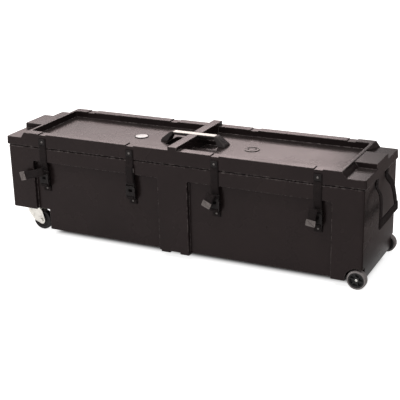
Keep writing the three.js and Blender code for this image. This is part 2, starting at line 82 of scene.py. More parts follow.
back = (eye - target).normalized()
level_right = Vector((0, 0, 1)).cross(back).normalized()
level_up = back.cross(level_right)
right = level_right * math.cos(roll) + level_up * math.sin(roll)
up = level_up * math.cos(roll) - level_right * math.sin(roll)

camera_data = bpy.data.cameras.new("camera")
camera_data.sensor_width = 36
camera_data.lens = 88.63
camera = linked("camera", camera_data)
camera.matrix_world = Matrix.Translation(eye) @ Matrix((right, up, back)).transposed().to_4x4()
bpy.context.scene.camera = camera
bpy.context.scene.view_settings.view_transform = "Standard"
print("the camera stands", round((eye - target).length, 3), "m away")

# %% [markdown]
# ## Nodes
# Every look is a tree of shader nodes. They could be added and wired one line at a time,
# but then the few lines that matter would be hard to find. Here one helper adds a node and
# gives each of its inputs a value or a wire, and short ones stand for nodes that are common.

# %% Node helpers
def nodes_of(owner):
    """The emptied node tree of a material or a world."""
    owner.use_nodes = True
    owner.node_tree.nodes.clear()
    return owner.node_tree


def add(tree, kind, inputs=None, **settings):
    """A node, with each input named in a dict set to a value or wired to a socket."""
    node = tree.nodes.new(kind)
    for name, value in settings.items():
        setattr(node, name, value)
    for name, value in (inputs or {}).items():
        if isinstance(value, bpy.types.NodeSocket):
            tree.links.new(value, node.inputs[name])
        else:
            node.inputs[name].default_value = value
    return node


def math_node(tree, operation, *values, kind="ShaderNodeMath", out=0):
    return add(tree, kind, dict(enumerate(values)), operation=operation).outputs[out]


def times(tree, a, b):
    return math_node(tree, "MULTIPLY", a, b)


def vector_math(tree, operation, *values, out="Vector"):
    return math_node(tree, operation, *values, kind="ShaderNodeVectorMath", out=out)


def object_space(tree):
    return add(tree, "ShaderNodeTexCoord").outputs["Object"]


def ramp(tree, value, low, high, to_low=0.0, to_high=1.0):
    """Maps low to to_low and high to to_high, with a soft start and end."""
    inputs = {"From Min": low, "From Max": high, "To Min": to_low, "To Max": to_high}
    node = add(tree, "ShaderNodeMapRange", inputs, interpolation_type="SMOOTHSTEP")
    tree.links.new(value, node.inputs["Value"])
    return node.outputs["Result"]


def started(name):
    """A new material and its empty node tree."""
    material = bpy.data.materials.new(name)
    return material, nodes_of(material)


def shaded(material, kind, inputs):
    """Wires a shader with these inputs to the output, and returns the material."""
    shader = add(material.node_tree, kind, inputs)
    add(material.node_tree, "ShaderNodeOutputMaterial", {"Surface": shader.outputs[0]})
    return material


# %% [markdown]
# ## Floor and light
# A product photograph stands its object on white paper under large soft lamps. The floor
# is a plain matt sheet. For the camera, and for reflections, it also glows a little, so
# that it reads as white and still keeps the soft shadow of the case. The glow fades out
# under the case and close round it, and this paints shade on the paper there.

# %% Floor
FLOOR_REACH, FLOOR_DROP = 14, 0.0004
# Inside this box under the case the glow is off, and it comes back over GLOW_FADE: painted shade on
# the paper.
FOOTPRINT = (0.555, 0.098, 1)
FOOTPRINT_MIDDLE = (0.065, 0, 0)
GLOW, GLOW_FADE = 0.84, 0.04
FLOOR_MIRRORED = 0.5


def seen_directly(tree, mirrored):
    """1 for camera and transmission rays, a share of 1 for glossy ones, 0 for the rest."""
    path = add(tree, "ShaderNodeLightPath").outputs
    glossy = times(tree, path["Is Glossy Ray"], mirrored)
    either = math_node(tree, "MAXIMUM", path["Is Camera Ray"], glossy)
    return math_node(tree, "MAXIMUM", either, path["Is Transmission Ray"])


paper, tree = started("white_paper")
matt = add(tree, "ShaderNodeBsdfDiffuse", {"Color": (0.8, 0.79, 0.785, 1)})
from_middle = vector_math(tree, "SUBTRACT", object_space(tree), FOOTPRINT_MIDDLE)
beyond = vector_math(tree, "SUBTRACT", vector_math(tree, "ABSOLUTE", from_middle), FOOTPRINT)
outside = vector_math(tree, "MAXIMUM", beyond, (0, 0, 0))
distance = vector_math(tree, "LENGTH", outside, out="Value")
# No glow under the case, full glow clear of it: the fade between them paints shade.
glow_with_painted_shade = ramp(tree, distance, 0.0, GLOW_FADE, 0.0, GLOW)
level = times(tree, seen_directly(tree, FLOOR_MIRRORED), glow_with_painted_shade)
glow = add(tree, "ShaderNodeEmission", {"Strength": level})
shaded(paper, "ShaderNodeAddShader", {0: matt.outputs[0], 1: glow.outputs[0]})


def as_object(shape, name):
    """Keeps a bmesh as the mesh of a new object."""
    mesh = bpy.data.meshes.new(name)
    shape.to_mesh(mesh)
    shape.free()
    return linked(name, mesh)


shape = bmesh.new()
bmesh.ops.create_grid(shape, x_segments=1, y_segments=1, size=FLOOR_REACH)
bmesh.ops.translate(shape, vec=(0, 0, -FLOOR_DROP), verts=shape.verts)
floor = as_object(shape, "floor")
floor.data.materials.append(paper)
print("the floor is", 2 * FLOOR_REACH, "m across")

# %% [markdown]
# The lamps are four rectangles: a soft box overhead, a wide panel behind that the lid's
# flat tops mirror at a low angle, a panel at the front left, and a small bright strip that
# draws a line of light along the rounded edges. Black glossy plastic shows mostly what it
# mirrors, so their places matter more than their strength. The panel behind is warm, as
# the sheen in the photograph is. Two grey cards, which only reflections see, lie at the
# right and stand behind, and keep the white room from washing out the dark end wall.

# %% Lamps
ROOM_LIGHT, WORLD_MIRRORED = 0.36, 0.69
WARM = (1, 0.8, 0.79)
LYING_Z, STANDING_Y = 0.001, 3.3


def soft_box(name, place, aim, size, power):
    data = bpy.data.lights.new(name, "AREA")
    data.shape = "RECTANGLE"
    data.size, data.size_y = size
    data.energy = power
    lamp = linked(name, data)
    lamp.location = place
    lamp.rotation_mode = "QUATERNION"
    lamp.rotation_quaternion = (Vector(aim) - Vector(place)).to_track_quat("-Z", "Y")
    lamp.visible_camera = False
    return lamp


soft_box("overhead", (-0.6, -0.4, 3.2), (0, 0, 0), (3.4, 2.6), 44)
soft_box("behind", (-2.18, 3.6, 2.45), (0, 0, 0.35), (3.15, 1.5), 61).data.color = WARM
soft_box("front_strip", (-0.5, -1.1, 2.9), (0.3, -0.1, 0.3), (1.0, 0.5), 14)
soft_box("front_left", (-2.6, -2.6, 1.9), (0, 0, 0.2), (1.6, 1.6), 12)

world = bpy.data.worlds.new("white_room")
bpy.context.scene.world = world
tree = nodes_of(world)
seen = seen_directly(tree, WORLD_MIRRORED)
level = add(tree, "ShaderNodeMapRange", {"Value": seen, "To Min": ROOM_LIGHT, "To Max": 1.0})
inputs = {"Color": (1, 1, 1, 1), "Strength": level.outputs["Result"]}
sky = add(tree, "ShaderNodeBackground", inputs)
add(tree, "ShaderNodeOutputWorld", {"Surface": sky.outputs[0]})

card_grey, tree = started("grey_card")
shaded(card_grey, "ShaderNodeBsdfDiffuse", {"Color": (0.3, 0.26, 0.25, 1)})
shape = bmesh.new()
lying = [(0.7, -0.2), (2.4, -0.2), (2.4, 2.6), (0.7, 2.6)]
shape.faces.new([shape.verts.new((x, y, LYING_Z)) for x, y in lying])
standing = [(-4.5, 0.05), (3.6, 0.05), (3.6, 2.3), (0.25, 2.3), (0.25, 1.3), (-4.5, 1.3)]
shape.faces.new([shape.verts.new((x, STANDING_Y, z)) for x, z in standing])
cards = as_object(shape, "cards")
cards.data.materials.append(card_grey)
cards.visible_camera = cards.visible_diffuse = False
cards.visible_shadow = cards.visible_transmission = False
print("four soft boxes, a white room and two grey cards")

# %% [markdown]
# ## Effects that several finishes share
# Moulded plastic has a fine grain, softly uneven gloss, scuffs on its edges and a little
# dust on what faces up; on the case shells the pale edge scuffs are also painted highlight.
# Webbing has a weave, with painted shade between its threads. Each of these is a node
# group, made once with named inputs and outputs, so that every finish can use it with its
# own values.

# %% Moulded grain
def effect(name, inputs, outputs):
    """A shader node group with float inputs {name: default} and a list of float outputs."""
    group = bpy.data.node_groups.new(name, "ShaderNodeTree")
    for label, default in inputs.items():
        socket = group.interface.new_socket(label, in_out="INPUT", socket_type="NodeSocketFloat")
        socket.default_value = default
    for label in outputs:
        group.interface.new_socket(label, in_out="OUTPUT", socket_type="NodeSocketFloat")
    return group, add(group, "NodeGroupInput").outputs, add(group, "NodeGroupOutput").inputs


def noise(tree, vector, scale, detail=3, roughness=0.55):
    inputs = {"Vector": vector, "Scale": scale, "Detail": detail, "Roughness": roughness}
    return add(tree, "ShaderNodeTexNoise", inputs).outputs["Fac"]


inputs = {"Grain Scale": 900.0, "Cloud Scale": 5.0}
moulded_grain, given, made = effect("moulded_grain", inputs, ["Height", "Clouds"])
where = object_space(moulded_grain)
inputs = {"Vector": where, "Scale": given["Grain Scale"], "Smoothness": 0.6}
fine = add(moulded_grain, "ShaderNodeTexVoronoi", inputs, feature="SMOOTH_F1")
coarse = times(moulded_grain, noise(moulded_grain, where, 160, 2), 0.5)
height = math_node(moulded_grain, "ADD", fine.outputs["Distance"], coarse)
clouds = noise(moulded_grain, where, given["Cloud Scale"], 4)
moulded_grain.links.new(height, made["Height"])
moulded_grain.links.new(clouds, made["Clouds"])
print("moulded grain:", len(moulded_grain.nodes), "nodes")

# %% [markdown]
# Edge wear needs to know where the edges are. The rounded strips that a bevel makes are
# marked in the mesh by an attribute, so the wear follows the real edges and a noise breaks
# it up. On the case shells the mark is strong and pale, partly real wear and partly a
# painted highlight along the edges.

# %% Edge wear and painted highlight
edge_wear_and_highlight, given, made = effect("edge_wear_and_highlight", {"Reach": 0.5, "Scale": 60.0}, ["Mask"])
mark = add(edge_wear_and_highlight, "ShaderNodeAttribute", attribute_name="rounded_edge").outputs["Fac"]
patches = noise(edge_wear_and_highlight, object_space(edge_wear_and_highlight), given["Scale"], 5, 0.65)
wear_and_highlight = times(edge_wear_and_highlight, mark, ramp(edge_wear_and_highlight, patches, 0.46, 0.66))
edge_wear_and_highlight.links.new(times(edge_wear_and_highlight, wear_and_highlight, given["Reach"]), made["Mask"])
print("edge wear:", len(edge_wear_and_highlight.nodes), "nodes")

# %% [markdown]
# Dust settles on what faces up and thins out in patches. The Normal of the geometry gives
# the facing, and its Z part, raised to a power, is the mask.

# %% Dust
dust, given, made = effect("dust", {"Amount": 0.2}, ["Mask"])
normal = add(dust, "ShaderNodeNewGeometry").outputs["Normal"]
upward = add(dust, "ShaderNodeSeparateXYZ", {0: normal}).outputs["Z"]
facing = math_node(dust, "POWER", math_node(dust, "MAXIMUM", upward, 0.0), 6.0)
patchy = ramp(dust, noise(dust, object_space(dust), 9, 5, 0.6), 0.3, 0.8)
settled = times(dust, facing, patchy)
dust.links.new(times(dust, settled, given["Amount"]), made["Mask"])
print("dust:", len(dust.nodes), "nodes")

# %% [markdown]
# Webbing is woven in narrow ribs that run along it, and each rib is crossed by threads
# that step from one rib to the next. Its own UV map is in metres, across and along, so
# the threads follow every bend of the strap. Its Shade output is painted shade, darker in
# the grooves between threads and lighter on the raised ones.

# %% Weave
weave, given, made = effect("webbing_weave", {"Ribs": 640.0, "Threads": 520.0}, ["Height", "Shade"])


def arch(position):
    """0 at every whole number and 1 halfway between two of them."""
    turn = times(weave, math_node(weave, "FRACT", position), math.pi)
    return math_node(weave, "SINE", turn)


on_strap = add(weave, "ShaderNodeUVMap", uv_map="weave").outputs["UV"]
place = add(weave, "ShaderNodeSeparateXYZ", {0: on_strap}).outputs
across = times(weave, place["X"], given["Ribs"])
along = times(weave, place["Y"], given["Threads"])
odd = math_node(weave, "MODULO", math_node(weave, "FLOOR", across), 2.0)
shifted = math_node(weave, "ADD", along, times(weave, odd, 0.5))
thread = math_node(weave, "ADD", arch(shifted), 0.6)
lifted = times(weave, math_node(weave, "ABSOLUTE", arch(across)), thread)
weave.links.new(lifted, made["Height"])
# Painted shade: the colour is darker in the grooves and lighter on the raised threads.
weave.links.new(ramp(weave, lifted, 0.1, 1.2, 0.55, 1.15), made["Shade"])
print("webbing weave:", len(weave.nodes), "nodes")

# %% [markdown]
# ## Finishes
# A finish starts as one Principled shader. The plastics all share a helper that mixes
# their colour with paler scuffs and dust, and lets clouds of noise change the gloss. On
# the case shells the pale scuffs are partly painted highlight on the edges. What is the
# same all over a surface, such as the specular level, is set on the shader itself.

# %% Plastic finishes
def placed(tree, group, **values):
    """The outputs of a shared effect, with its inputs given by name."""
    inputs = {name.replace("_", " "): value for name, value in values.items()}
    return add(tree, "ShaderNodeGroup", inputs, node_tree=group).outputs


def mixed(tree, factor, a, b):
    return add(tree, "ShaderNodeMix", {0: factor, 6: a, 7: b}, data_type="RGBA").outputs[2]


def bumped(tree, height, strength, distance):
    inputs = {"Height": height, "Strength": strength, "Distance": distance}
    return add(tree, "ShaderNodeBump", inputs).outputs["Normal"]


def toned(colour, factor=1):
    """A colour made darker or lighter, as the four numbers that a socket takes."""
    return tuple(part * factor for part in colour) + (1,)


def principled(material, colour, roughness, normal, **constants):
    """Wires what varies to a Principled shader, and sets what is the same all over."""
    inputs = {name.replace("_", " "): value for name, value in constants.items()}
    inputs |= {"Base Color": colour, "Roughness": roughness, "Normal": normal}
    return shaded(material, "ShaderNodeBsdfPrincipled", inputs)


def plastic(
    name, colour, pale, gloss, grain, specular=0.4, wear_and_highlight=0.5, dusty=0.15, cells=900.0, tint=1.0
):
    material, tree = started(name)
    texture = placed(tree, moulded_grain, Grain_Scale=cells, Cloud_Scale=5.0)
    scuffs_and_highlight = placed(tree, edge_wear_and_highlight, Reach=wear_and_highlight, Scale=60.0)["Mask"]
    settled = placed(tree, dust, Amount=dusty)["Mask"]
    tone = ramp(tree, texture["Clouds"], 0.3, 0.7)
    ground = mixed(tree, tone, toned(colour, 0.86), toned(colour, 1.12))
    # Pale scuffs on the bevelled edges: wear, and on the shells partly painted highlight.
    scuffed_and_highlighted = mixed(tree, scuffs_and_highlight, ground, toned(pale))
    dusted = mixed(tree, settled, scuffed_and_highlighted, (0.32, 0.3, 0.28, 1))
    clouded = ramp(tree, texture["Clouds"], 0.25, 0.75, gloss - 0.04, gloss + 0.05)
    rougher = math_node(tree, "ADD", clouded, times(tree, scuffs_and_highlight, 0.2))
    normal = bumped(tree, texture["Height"], grain, 0.0004)
    mirror = {"Specular_IOR_Level": specular, "Specular_Tint": (1, tint, tint, 1)}
    return principled(material, dusted, rougher, normal, **mirror)


# The shell's strong pale edge scuffs are partly real wear, partly painted highlight.
SHELL = plastic(
    "moulded_shell", (0.019, 0.0132, 0.0128), (0.13, 0.11, 0.105), 0.26, 0.08,
    specular=0.17, wear_and_highlight=0.8, dusty=0.06, tint=0.86,
)
BUCKLE = plastic(
    "buckle_nylon", (0.0125, 0.0092, 0.009), (0.08, 0.074, 0.072), 0.4, 0.1, specular=0.18
)
TIP = plastic("strap_tip_nylon", (0.19, 0.162, 0.153), (0.42, 0.37, 0.35), 0.42, 0.12)
# Dark handle plastic, its colour raised: partly its own grey, partly painted sheen.
FOOT_PAINTED_SHEEN = plastic(
    "handle_foot", (0.04, 0.033, 0.0322), (0.09, 0.079, 0.076), 0.5, 0.6,
    specular=0.16, dusty=0.08, cells=420.0,
)
# Pale colour of the thin pad on the grip: a painted highlight.
GRIP_PAINTED_HIGHLIGHT = plastic(
    "handle_grip", (0.86, 0.79, 0.71), (0.8, 0.76, 0.7), 0.24, 0.05, specular=0.5, dusty=0.02
)
DISC = plastic(
    "round_disc", (0.65, 0.625, 0.605), (0.62, 0.6, 0.58), 0.3, 0.04, specular=0.5, dusty=0.05
)
EMBLEM = plastic(
    "dark_ring", (0.012, 0.011, 0.0105), (0.06, 0.055, 0.05), 0.5, 0.05,
    specular=0.06, dusty=0.03,
)
HUB = plastic("wheel_hub", (0.012, 0.011, 0.0108), (0.08, 0.075, 0.072), 0.45, 0.15)
print("eight plastics")

# %% [markdown]
# Metal is two finishes: bright zinc on the castors and nickel on the rivets. Both have
# fine brushing, made by a noise that is stretched along Z, and duller patches.

# %% Metal, rubber and webbing finishes
def metal(name, colour, gloss, brushing):
    material, tree = started(name)
    where = object_space(tree)
    stretch = add(tree, "ShaderNodeMapping", {"Vector": where, "Scale": (1, 1, 0.06)})
    lines = noise(tree, stretch.outputs[0], 1400, 2)
    stains = ramp(tree, noise(tree, where, 45, 5, 0.6), 0.45, 0.75)
    stained = mixed(tree, stains, toned(colour), toned(colour, 0.72))
    duller = ramp(tree, stains, 0.0, 1.0, gloss, gloss + 0.16)
    return principled(material, stained, duller, bumped(tree, lines, brushing, 0.0002), Metallic=1)


def rubber(name, colour, pale, gloss):
    material, tree = started(name)
    texture = placed(tree, moulded_grain, Grain_Scale=520.0, Cloud_Scale=30.0)
    settled = placed(tree, dust, Amount=0.3)["Mask"]
    faded = ramp(tree, texture["Clouds"], 0.35, 0.7)
    ground = mixed(tree, faded, toned(colour), toned(pale))
    dusted = mixed(tree, settled, ground, (0.3, 0.28, 0.26, 1))
    clouded = ramp(tree, texture["Clouds"], 0.2, 0.8, gloss - 0.08, gloss + 0.08)
    normal = bumped(tree, texture["Height"], 0.35, 0.0005)
    return principled(material, dusted, clouded, normal, Specular_IOR_Level=0.35)


def woven(name, colour, sheen):
    material, tree = started(name)
    threads = placed(tree, weave, Ribs=640.0, Threads=520.0)
    fading = ramp(tree, noise(tree, object_space(tree), 30, 4), 0.3, 0.75, 0.85, 1.25)
    # Random fading times the weave's painted shade, which is darker between the threads.
    fade_and_painted_shade = ramp(tree, times(tree, threads["Shade"], fading), 0.4, 1.5)
    webbing_with_painted_shade = mixed(tree, fade_and_painted_shade, toned(colour, 0.45), toned(colour, 1.5))
    dry = ramp(tree, fading, 0.8, 1.3, 0.62, 0.78)
    normal = bumped(tree, threads["Height"], 0.7, 0.0005)
    constants = {"Specular_IOR_Level": 0.1, "Sheen_Weight": sheen}
    return principled(material, webbing_with_painted_shade, dry, normal, **constants)


ZINC = metal("bright_zinc", (0.76, 0.745, 0.695), 0.34, 0.15)
NICKEL = metal("nickel_rivet", (0.16, 0.148, 0.14), 0.42, 0.1)
TYRE = rubber("grey_tyre", (0.25, 0.222, 0.216), (0.35, 0.32, 0.31), 0.6)
TREAD = rubber("black_tread", (0.013, 0.012, 0.0118), (0.022, 0.02, 0.0195), 0.55)
WEBBING = woven("black_webbing", (0.0205, 0.0153, 0.0151), 0.0)
THREAD = woven("black_thread", (0.02, 0.0185, 0.018), 0.1)
print("two metals, two rubbers and the webbing")

# %% [markdown]
# ## Modelling helpers
# Everything is drawn in millimetres in the case's own frame, with its middle at zero and
# the ground at Z 0, as the CAD source has it. A finished piece is scaled to metres and
# moved back by the small offset that centres the whole object.

# %% Blocks and slabs
MM = 0.001
low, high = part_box("base_shell")
CASE_SHIFT = (low.y + high.y) / 2
print("the case sits", round(CASE_SHIFT * 1000, 2), "mm behind the frame's middle")


def bevel(shape, edges, radius, steps):
    return bmesh.ops.bevel(
        shape, geom=edges, offset=radius, segments=steps, profile=0.5,
        affect="EDGES", material=-1, clamp_overlap=False,
    )


def block(shape, low, high, radius=0, axis=2, steps=5):
    """A box between two corners, with its edges along one axis rounded."""
    verts = bmesh.ops.create_cube(shape, size=1)["verts"]
    bmesh.ops.scale(shape, vec=[b - a for a, b in zip(low, high)], verts=verts)
    bmesh.ops.translate(shape, vec=[(a + b) / 2 for a, b in zip(low, high)], verts=verts)
    if radius:
        fresh, others = set(verts), [k for k in range(3) if k != axis]
        edges = []
        for edge in shape.edges:
            first, last = edge.verts
            if first in fresh and all(abs(first.co[k] - last.co[k]) < 1e-4 for k in others):
                edges.append(edge)
        bevel(shape, edges, radius, steps)
    return shape


def blocks(*rows):
    """A new bmesh with one block for each row of block's values."""
    shape = bmesh.new()
    for row in rows:
        block(shape, *row)
    return shape


def slab(outline, axis, low, high):
    """An outline pushed out along an axis: drawn in (y, z) for 0, (x, z) for 1."""
    def at(a, b, along):
        spot = [a, b]
        spot.insert(axis, along)
        return spot

    shape = bmesh.new()
    face = shape.faces.new([shape.verts.new(at(a, b, low)) for a, b in outline])
    pushed = bmesh.ops.extrude_face_region(shape, geom=[face])["geom"]
    moved = [item for item in pushed if isinstance(item, bmesh.types.BMVert)]
    bmesh.ops.translate(shape, vec=at(0, 0, high - low), verts=moved)
    return shape


def span(side, near, far):
    """Two distances from the middle on one side of it, the lower number first."""
    return sorted((side * near, side * far))


# %% [markdown]
# A wheel or a bolt is a profile spun round its axis, and the full turn is merged, so that
# the ring closes. Sharp edges are softened with a bevel, as a mould leaves them, and the
# rounded strips are marked on the way, for edge wear and, on the shells, painted highlight.

# %% Turned and softened shapes
def turned(shape, profile, centre, axis=1, segments=32):
    """A profile of (radius, along) points spun round an axis through a point."""
    side = Vector((1, 0, 0)) if axis == 2 else Vector((0, 0, 1))
    spine = Vector([float(k == axis) for k in range(3)])
    middle = Vector(centre)
    verts = [shape.verts.new(middle + side * radius + spine * along) for radius, along in profile]
    edges = [shape.edges.new(pair) for pair in zip(verts, verts[1:])]
    bmesh.ops.spin(
        shape, geom=verts + edges, cent=middle, axis=spine, angle=2 * math.pi,
        steps=segments, use_merge=True,
    )
    return shape


def soften(shape, radius, steps=3, angle=35, above=-math.inf, below=math.inf):
    """Rounds sharp edges between two heights; marks the strips for wear and painted highlight."""
    rounded_edge = shape.faces.layers.float.get("rounded_edge") or shape.faces.layers.float.new("rounded_edge")
    edges = []
    for edge in shape.edges:
        height = (edge.verts[0].co.z + edge.verts[1].co.z) / 2
        sharp = len(edge.link_faces) == 2 and edge.calc_face_angle(0) > math.radians(angle)
        if sharp and above < height < below:
            edges.append(edge)
    for face in bevel(shape, edges, radius, steps)["faces"]:
        face[rounded_edge] = 1
    return shape


def tidy(shape):
    bmesh.ops.remove_doubles(shape, verts=shape.verts, dist=0.001)
    bmesh.ops.recalc_face_normals(shape, faces=shape.faces)
    return shape


def merge(shape, part):
    """Puts one bmesh into another."""
    carrier = bpy.data.meshes.new("carrier")
    part.to_mesh(carrier)
    part.free()
    shape.from_mesh(carrier)
    bpy.data.meshes.remove(carrier)


# %% [markdown]
# The two shells are blocks with pockets cut out of them. A bevel can round a block, but
# only a Boolean modifier cuts one solid with another, so each cut is made by a modifier
# whose result is kept as the mesh at once.

# %% Cutting and finishing
def solid(thing):
    """The object made of a tidied bmesh. What is an object already stays as it is."""
    return as_object(tidy(thing), "work") if isinstance(thing, bmesh.types.BMesh) else thing


def discard(piece):
    mesh = piece.data
    bpy.data.objects.remove(piece)
    bpy.data.meshes.remove(mesh)


def carve(body, tool, operation="DIFFERENCE", solver="EXACT"):
    """Cuts a tool out of a body, or joins the two, and throws the tool away."""
    tool = solid(tool)
    modifier = body.modifiers.new("carve", "BOOLEAN")
    modifier.solver = solver
    modifier.operation = operation
    modifier.object = tool
    graph = bpy.context.evaluated_depsgraph_get()
    result = bpy.data.meshes.new_from_object(body.evaluated_get(graph))
    body.modifiers.clear()
    old, body.data = body.data, result
    bpy.data.meshes.remove(old)
    discard(tool)


def soften_object(piece, *sizes, **limits):
    shape = bmesh.new()
    shape.from_mesh(piece.data)
    soften(shape, *sizes, **limits).to_mesh(piece.data)
    shape.free()


made_pieces = []


def finish(piece, name, body, material, replaced=(), sharp=38, weighted=True):
    """Scales a body from millimetres, shades it, and hands it to the frame."""
    piece = solid(piece)
    piece.name = piece.data.name = name
    piece.data.transform(Matrix.Translation((0, CASE_SHIFT, 0)) @ Matrix.Scale(MM, 4))
    piece.data.materials.clear()
    piece.data.materials.append(material)
    piece.data.shade_smooth()
    piece.data.set_sharp_from_angle(angle=math.radians(sharp))
    if weighted:
        piece.modifiers.new("even_shading", "WEIGHTED_NORMAL").keep_sharp = True
    if isinstance(body, str):
        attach(piece, body)
    if replaced:
        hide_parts(*replaced)
    made_pieces.append(piece)
    return piece


# %% [markdown]
# ## Base
# The base is one moulding with an even wall. It could be a plain block with a bump map,
# but its recessed panels, castor step and wheel arches shape every outline of the case,
# so they are really cut. The same form, drawn once outside and once with every surface
# moved in by the wall, gives the hollow.

# %% Sizes of the case
HALF_LENGTH, HALF_DEPTH = 660, 179
BASE_LOW, BASE_TOP = 24, 332.5
LID_LOW = 334
WALL = 5
CORNER, LID_CORNER = 10, 8
LID_OVERHANG, LID_DRAFT = 6, 0.067
PANEL_DEPTH, PANEL_TOP = 15, 282
PANELS = ((-557, -55.5), (55.5, 557))
BAY_END, BAY_TOP = -513, 99
ARCH_DEPTH, ARCH_RADIUS = 30, 38
WHEEL_X, WHEEL_RADIUS = 642, 32
STATIONS = (-511, -158, 158, 511)
SIDES = (("front", -1), ("rear", 1))
FRONT_FACE = -HALF_DEPTH
PANEL_FACE = FRONT_FACE + PANEL_DEPTH


# %% Base form
# A cutting tool reaches this far past the sides and to this height below the case.
PAST, DEEP = 9, -20


def case_block(inset, low, high, corner=CORNER):
    across, deep = HALF_LENGTH - inset, HALF_DEPTH - inset
    return blocks(((-across, -deep, low), (across, deep, high), max(corner - inset, 2)))


def base_form(inset, top):
    """The base's outline, with every surface moved in by the inset."""
    form = solid(case_block(inset, BASE_LOW + inset, top))
    panels = bmesh.new()
    for start, end in PANELS:
        for side in (-1, 1):
            near, far = span(side, HALF_DEPTH - PANEL_DEPTH - inset, HALF_DEPTH + PAST)
            corner = (end + inset, far, PANEL_TOP + inset)
            block(panels, (start - inset, near, DEEP), corner, 5, axis=1, steps=3)
    carve(form, panels)
    bay = (BAY_END + inset, HALF_DEPTH + PAST, BAY_TOP + inset)
    hollows = blocks(((-HALF_LENGTH - PAST, -HALF_DEPTH - PAST, DEEP), bay))
    for side in (-1, 1):
        near, far = span(side, HALF_DEPTH - ARCH_DEPTH - inset, HALF_DEPTH + PAST)
        place = Matrix.Translation((WHEEL_X, (near + far) / 2, WHEEL_RADIUS))
        bmesh.ops.create_cone(
            hollows, cap_ends=True, segments=48, depth=far - near,
            radius1=ARCH_RADIUS + inset, radius2=ARCH_RADIUS + inset,
            matrix=place @ Matrix.Rotation(math.pi / 2, 4, "X"),
        )
    carve(form, hollows)
    return form


outer = base_form(0, BASE_TOP)
soften_object(outer, 4, above=BASE_TOP - 1)
soften_object(outer, 2.2, below=BASE_TOP - 4)
print("base's outside:", len(outer.data.polygons), "faces")

# %% [markdown]
# The lip that the lid drops over is a thin wall on the base's top edge, and two low feet
# under the middle pillar stand either side of the rib of a case below. Both are joined
# before the hollow is cut.

# %% Base: lip, feet and hollow
LIP_INSET, LIP_WIDTH, LIP_TOP = 6, 3, 341
COLLAR_LOW = 317.5
RIB_X, RIB_HALF = 4, 17
FOOT_GAP, FOOT_WIDTH, FOOT_DROP = 2, 34, 6

lip = case_block(LIP_INSET, BASE_TOP - 3, LIP_TOP)
carve(outer, soften(lip, 1, 2, above=LIP_TOP - 0.1), "UNION")
feet = bmesh.new()
for side in (-1, 1):
    near = RIB_X + side * (RIB_HALF + FOOT_GAP)
    ends = sorted((near, RIB_X + side * (RIB_HALF + FOOT_GAP + FOOT_WIDTH)))
    low = (ends[0], FRONT_FACE, BASE_LOW - FOOT_DROP)
    block(feet, low, (ends[1], HALF_DEPTH, BASE_LOW + 3))
carve(outer, soften(feet, 1.6, 2, below=BASE_LOW), "UNION")
carve(outer, base_form(WALL, COLLAR_LOW))
carve(outer, case_block(LIP_INSET + LIP_WIDTH, COLLAR_LOW - 1, LIP_TOP + PAST))
base_shell = finish(outer, "base_moulding", "base", SHELL, ["base_shell"])
print("base:", len(base_shell.data.polygons), "faces")

# %% [markdown]
# ## Lid
# The lid has a raised rim round a sunken tray, a lower step at each end with a lug on it,
# a rib across the middle and shallow notches where straps pass over the rim. Its side
# outline is drawn once and pushed out over the depth, and the rest is joined or cut.

# %% Lid form
STEP_TOP, RIM_TOP = 364, 384
RIM_END, SLOPE = 587.5, 15
RIM_WIDTH, END_RIM = 35, 11
TRAY_FLOOR, WELL_FLOOR = 361, 345
WELL_HALF, WELL_WIDE = 94, 46
LUG_HALF, LUG_TOP = 60, 382
RIB_TOP = 396
SADDLE_HALF, SADDLE_WIDE, SADDLE_LOW = 30, 16, 383
NOTCH_HALF, NOTCH_DEEP = 15.5, 3
ABOVE = 20


def lid_block(inset, low, high):
    """The lid's plan as a block whose ends hang over the base and lean in as they rise."""
    shape = case_block(inset, low, high, LID_CORNER)
    for vert in shape.verts:
        vert.co.x += math.copysign(LID_OVERHANG - LID_DRAFT * (vert.co.z - LID_LOW), vert.co.x)
    return shape


def lid_form(inset):
    """The lid's outline, with every surface moved in by the inset."""
    ends, low = HALF_LENGTH + 20, LID_LOW - (1 if inset else 0)
    foot, crest = RIM_END + SLOPE - inset, RIM_END - inset
    step, rim = STEP_TOP - inset, RIM_TOP - inset
    half = [(ends, low), (ends, step), (foot, step), (crest, rim)]
    outline = half + [(-x, z) for x, z in reversed(half)]
    form = solid(slab(outline, 1, -HALF_DEPTH + inset, HALF_DEPTH - inset))
    lugs, wide = bmesh.new(), LUG_HALF - inset
    for side in (-1, 1):
        near, far = span(side, crest - 4, ends)
        block(lugs, (near, -wide, STEP_TOP - WALL - inset), (far, wide, LUG_TOP - inset))
    carve(form, lugs, "UNION")
    carve(form, lid_block(inset, low - 1, RIB_TOP), "INTERSECT")
    tray = (RIM_END - END_RIM + inset, HALF_DEPTH - RIM_WIDTH + inset, TRAY_FLOOR)
    well = (WELL_HALF + inset, WELL_WIDE + inset, WELL_FLOOR)
    for across, deep, floor_z in (tray, well):
        corner = (across, deep, RIB_TOP + ABOVE)
        carve(form, blocks(((-across, -deep, floor_z - inset), corner, 10 + inset)))
    deep, sunk = HALF_DEPTH - inset, WELL_WIDE + WALL + 2
    under, top = TRAY_FLOOR - WALL - inset, RIB_TOP - inset
    bottom = WELL_FLOOR - WALL - inset
    outline = [(-deep, under), (-sunk, under), (-sunk, bottom), (sunk, bottom)]
    outline += [(sunk, under), (deep, under), (deep, top), (-deep, top)]
    rib = slab(outline, 0, RIB_X - RIB_HALF + inset, RIB_X + RIB_HALF - inset)
    carve(form, rib, "UNION")
    wide, deep = SADDLE_HALF, SADDLE_WIDE + inset
    low, high = (RIB_X - wide, -deep, SADDLE_LOW - inset), (RIB_X + wide, deep, RIB_TOP + ABOVE)
    carve(form, blocks((low, high)))
    return form


# %% [markdown]
# The wall of the lid is what is left when the form, moved in by the wall's thickness, is
# cut from the full one. The notches for the straps are cut from both, so that the wall
# keeps its thickness under them.

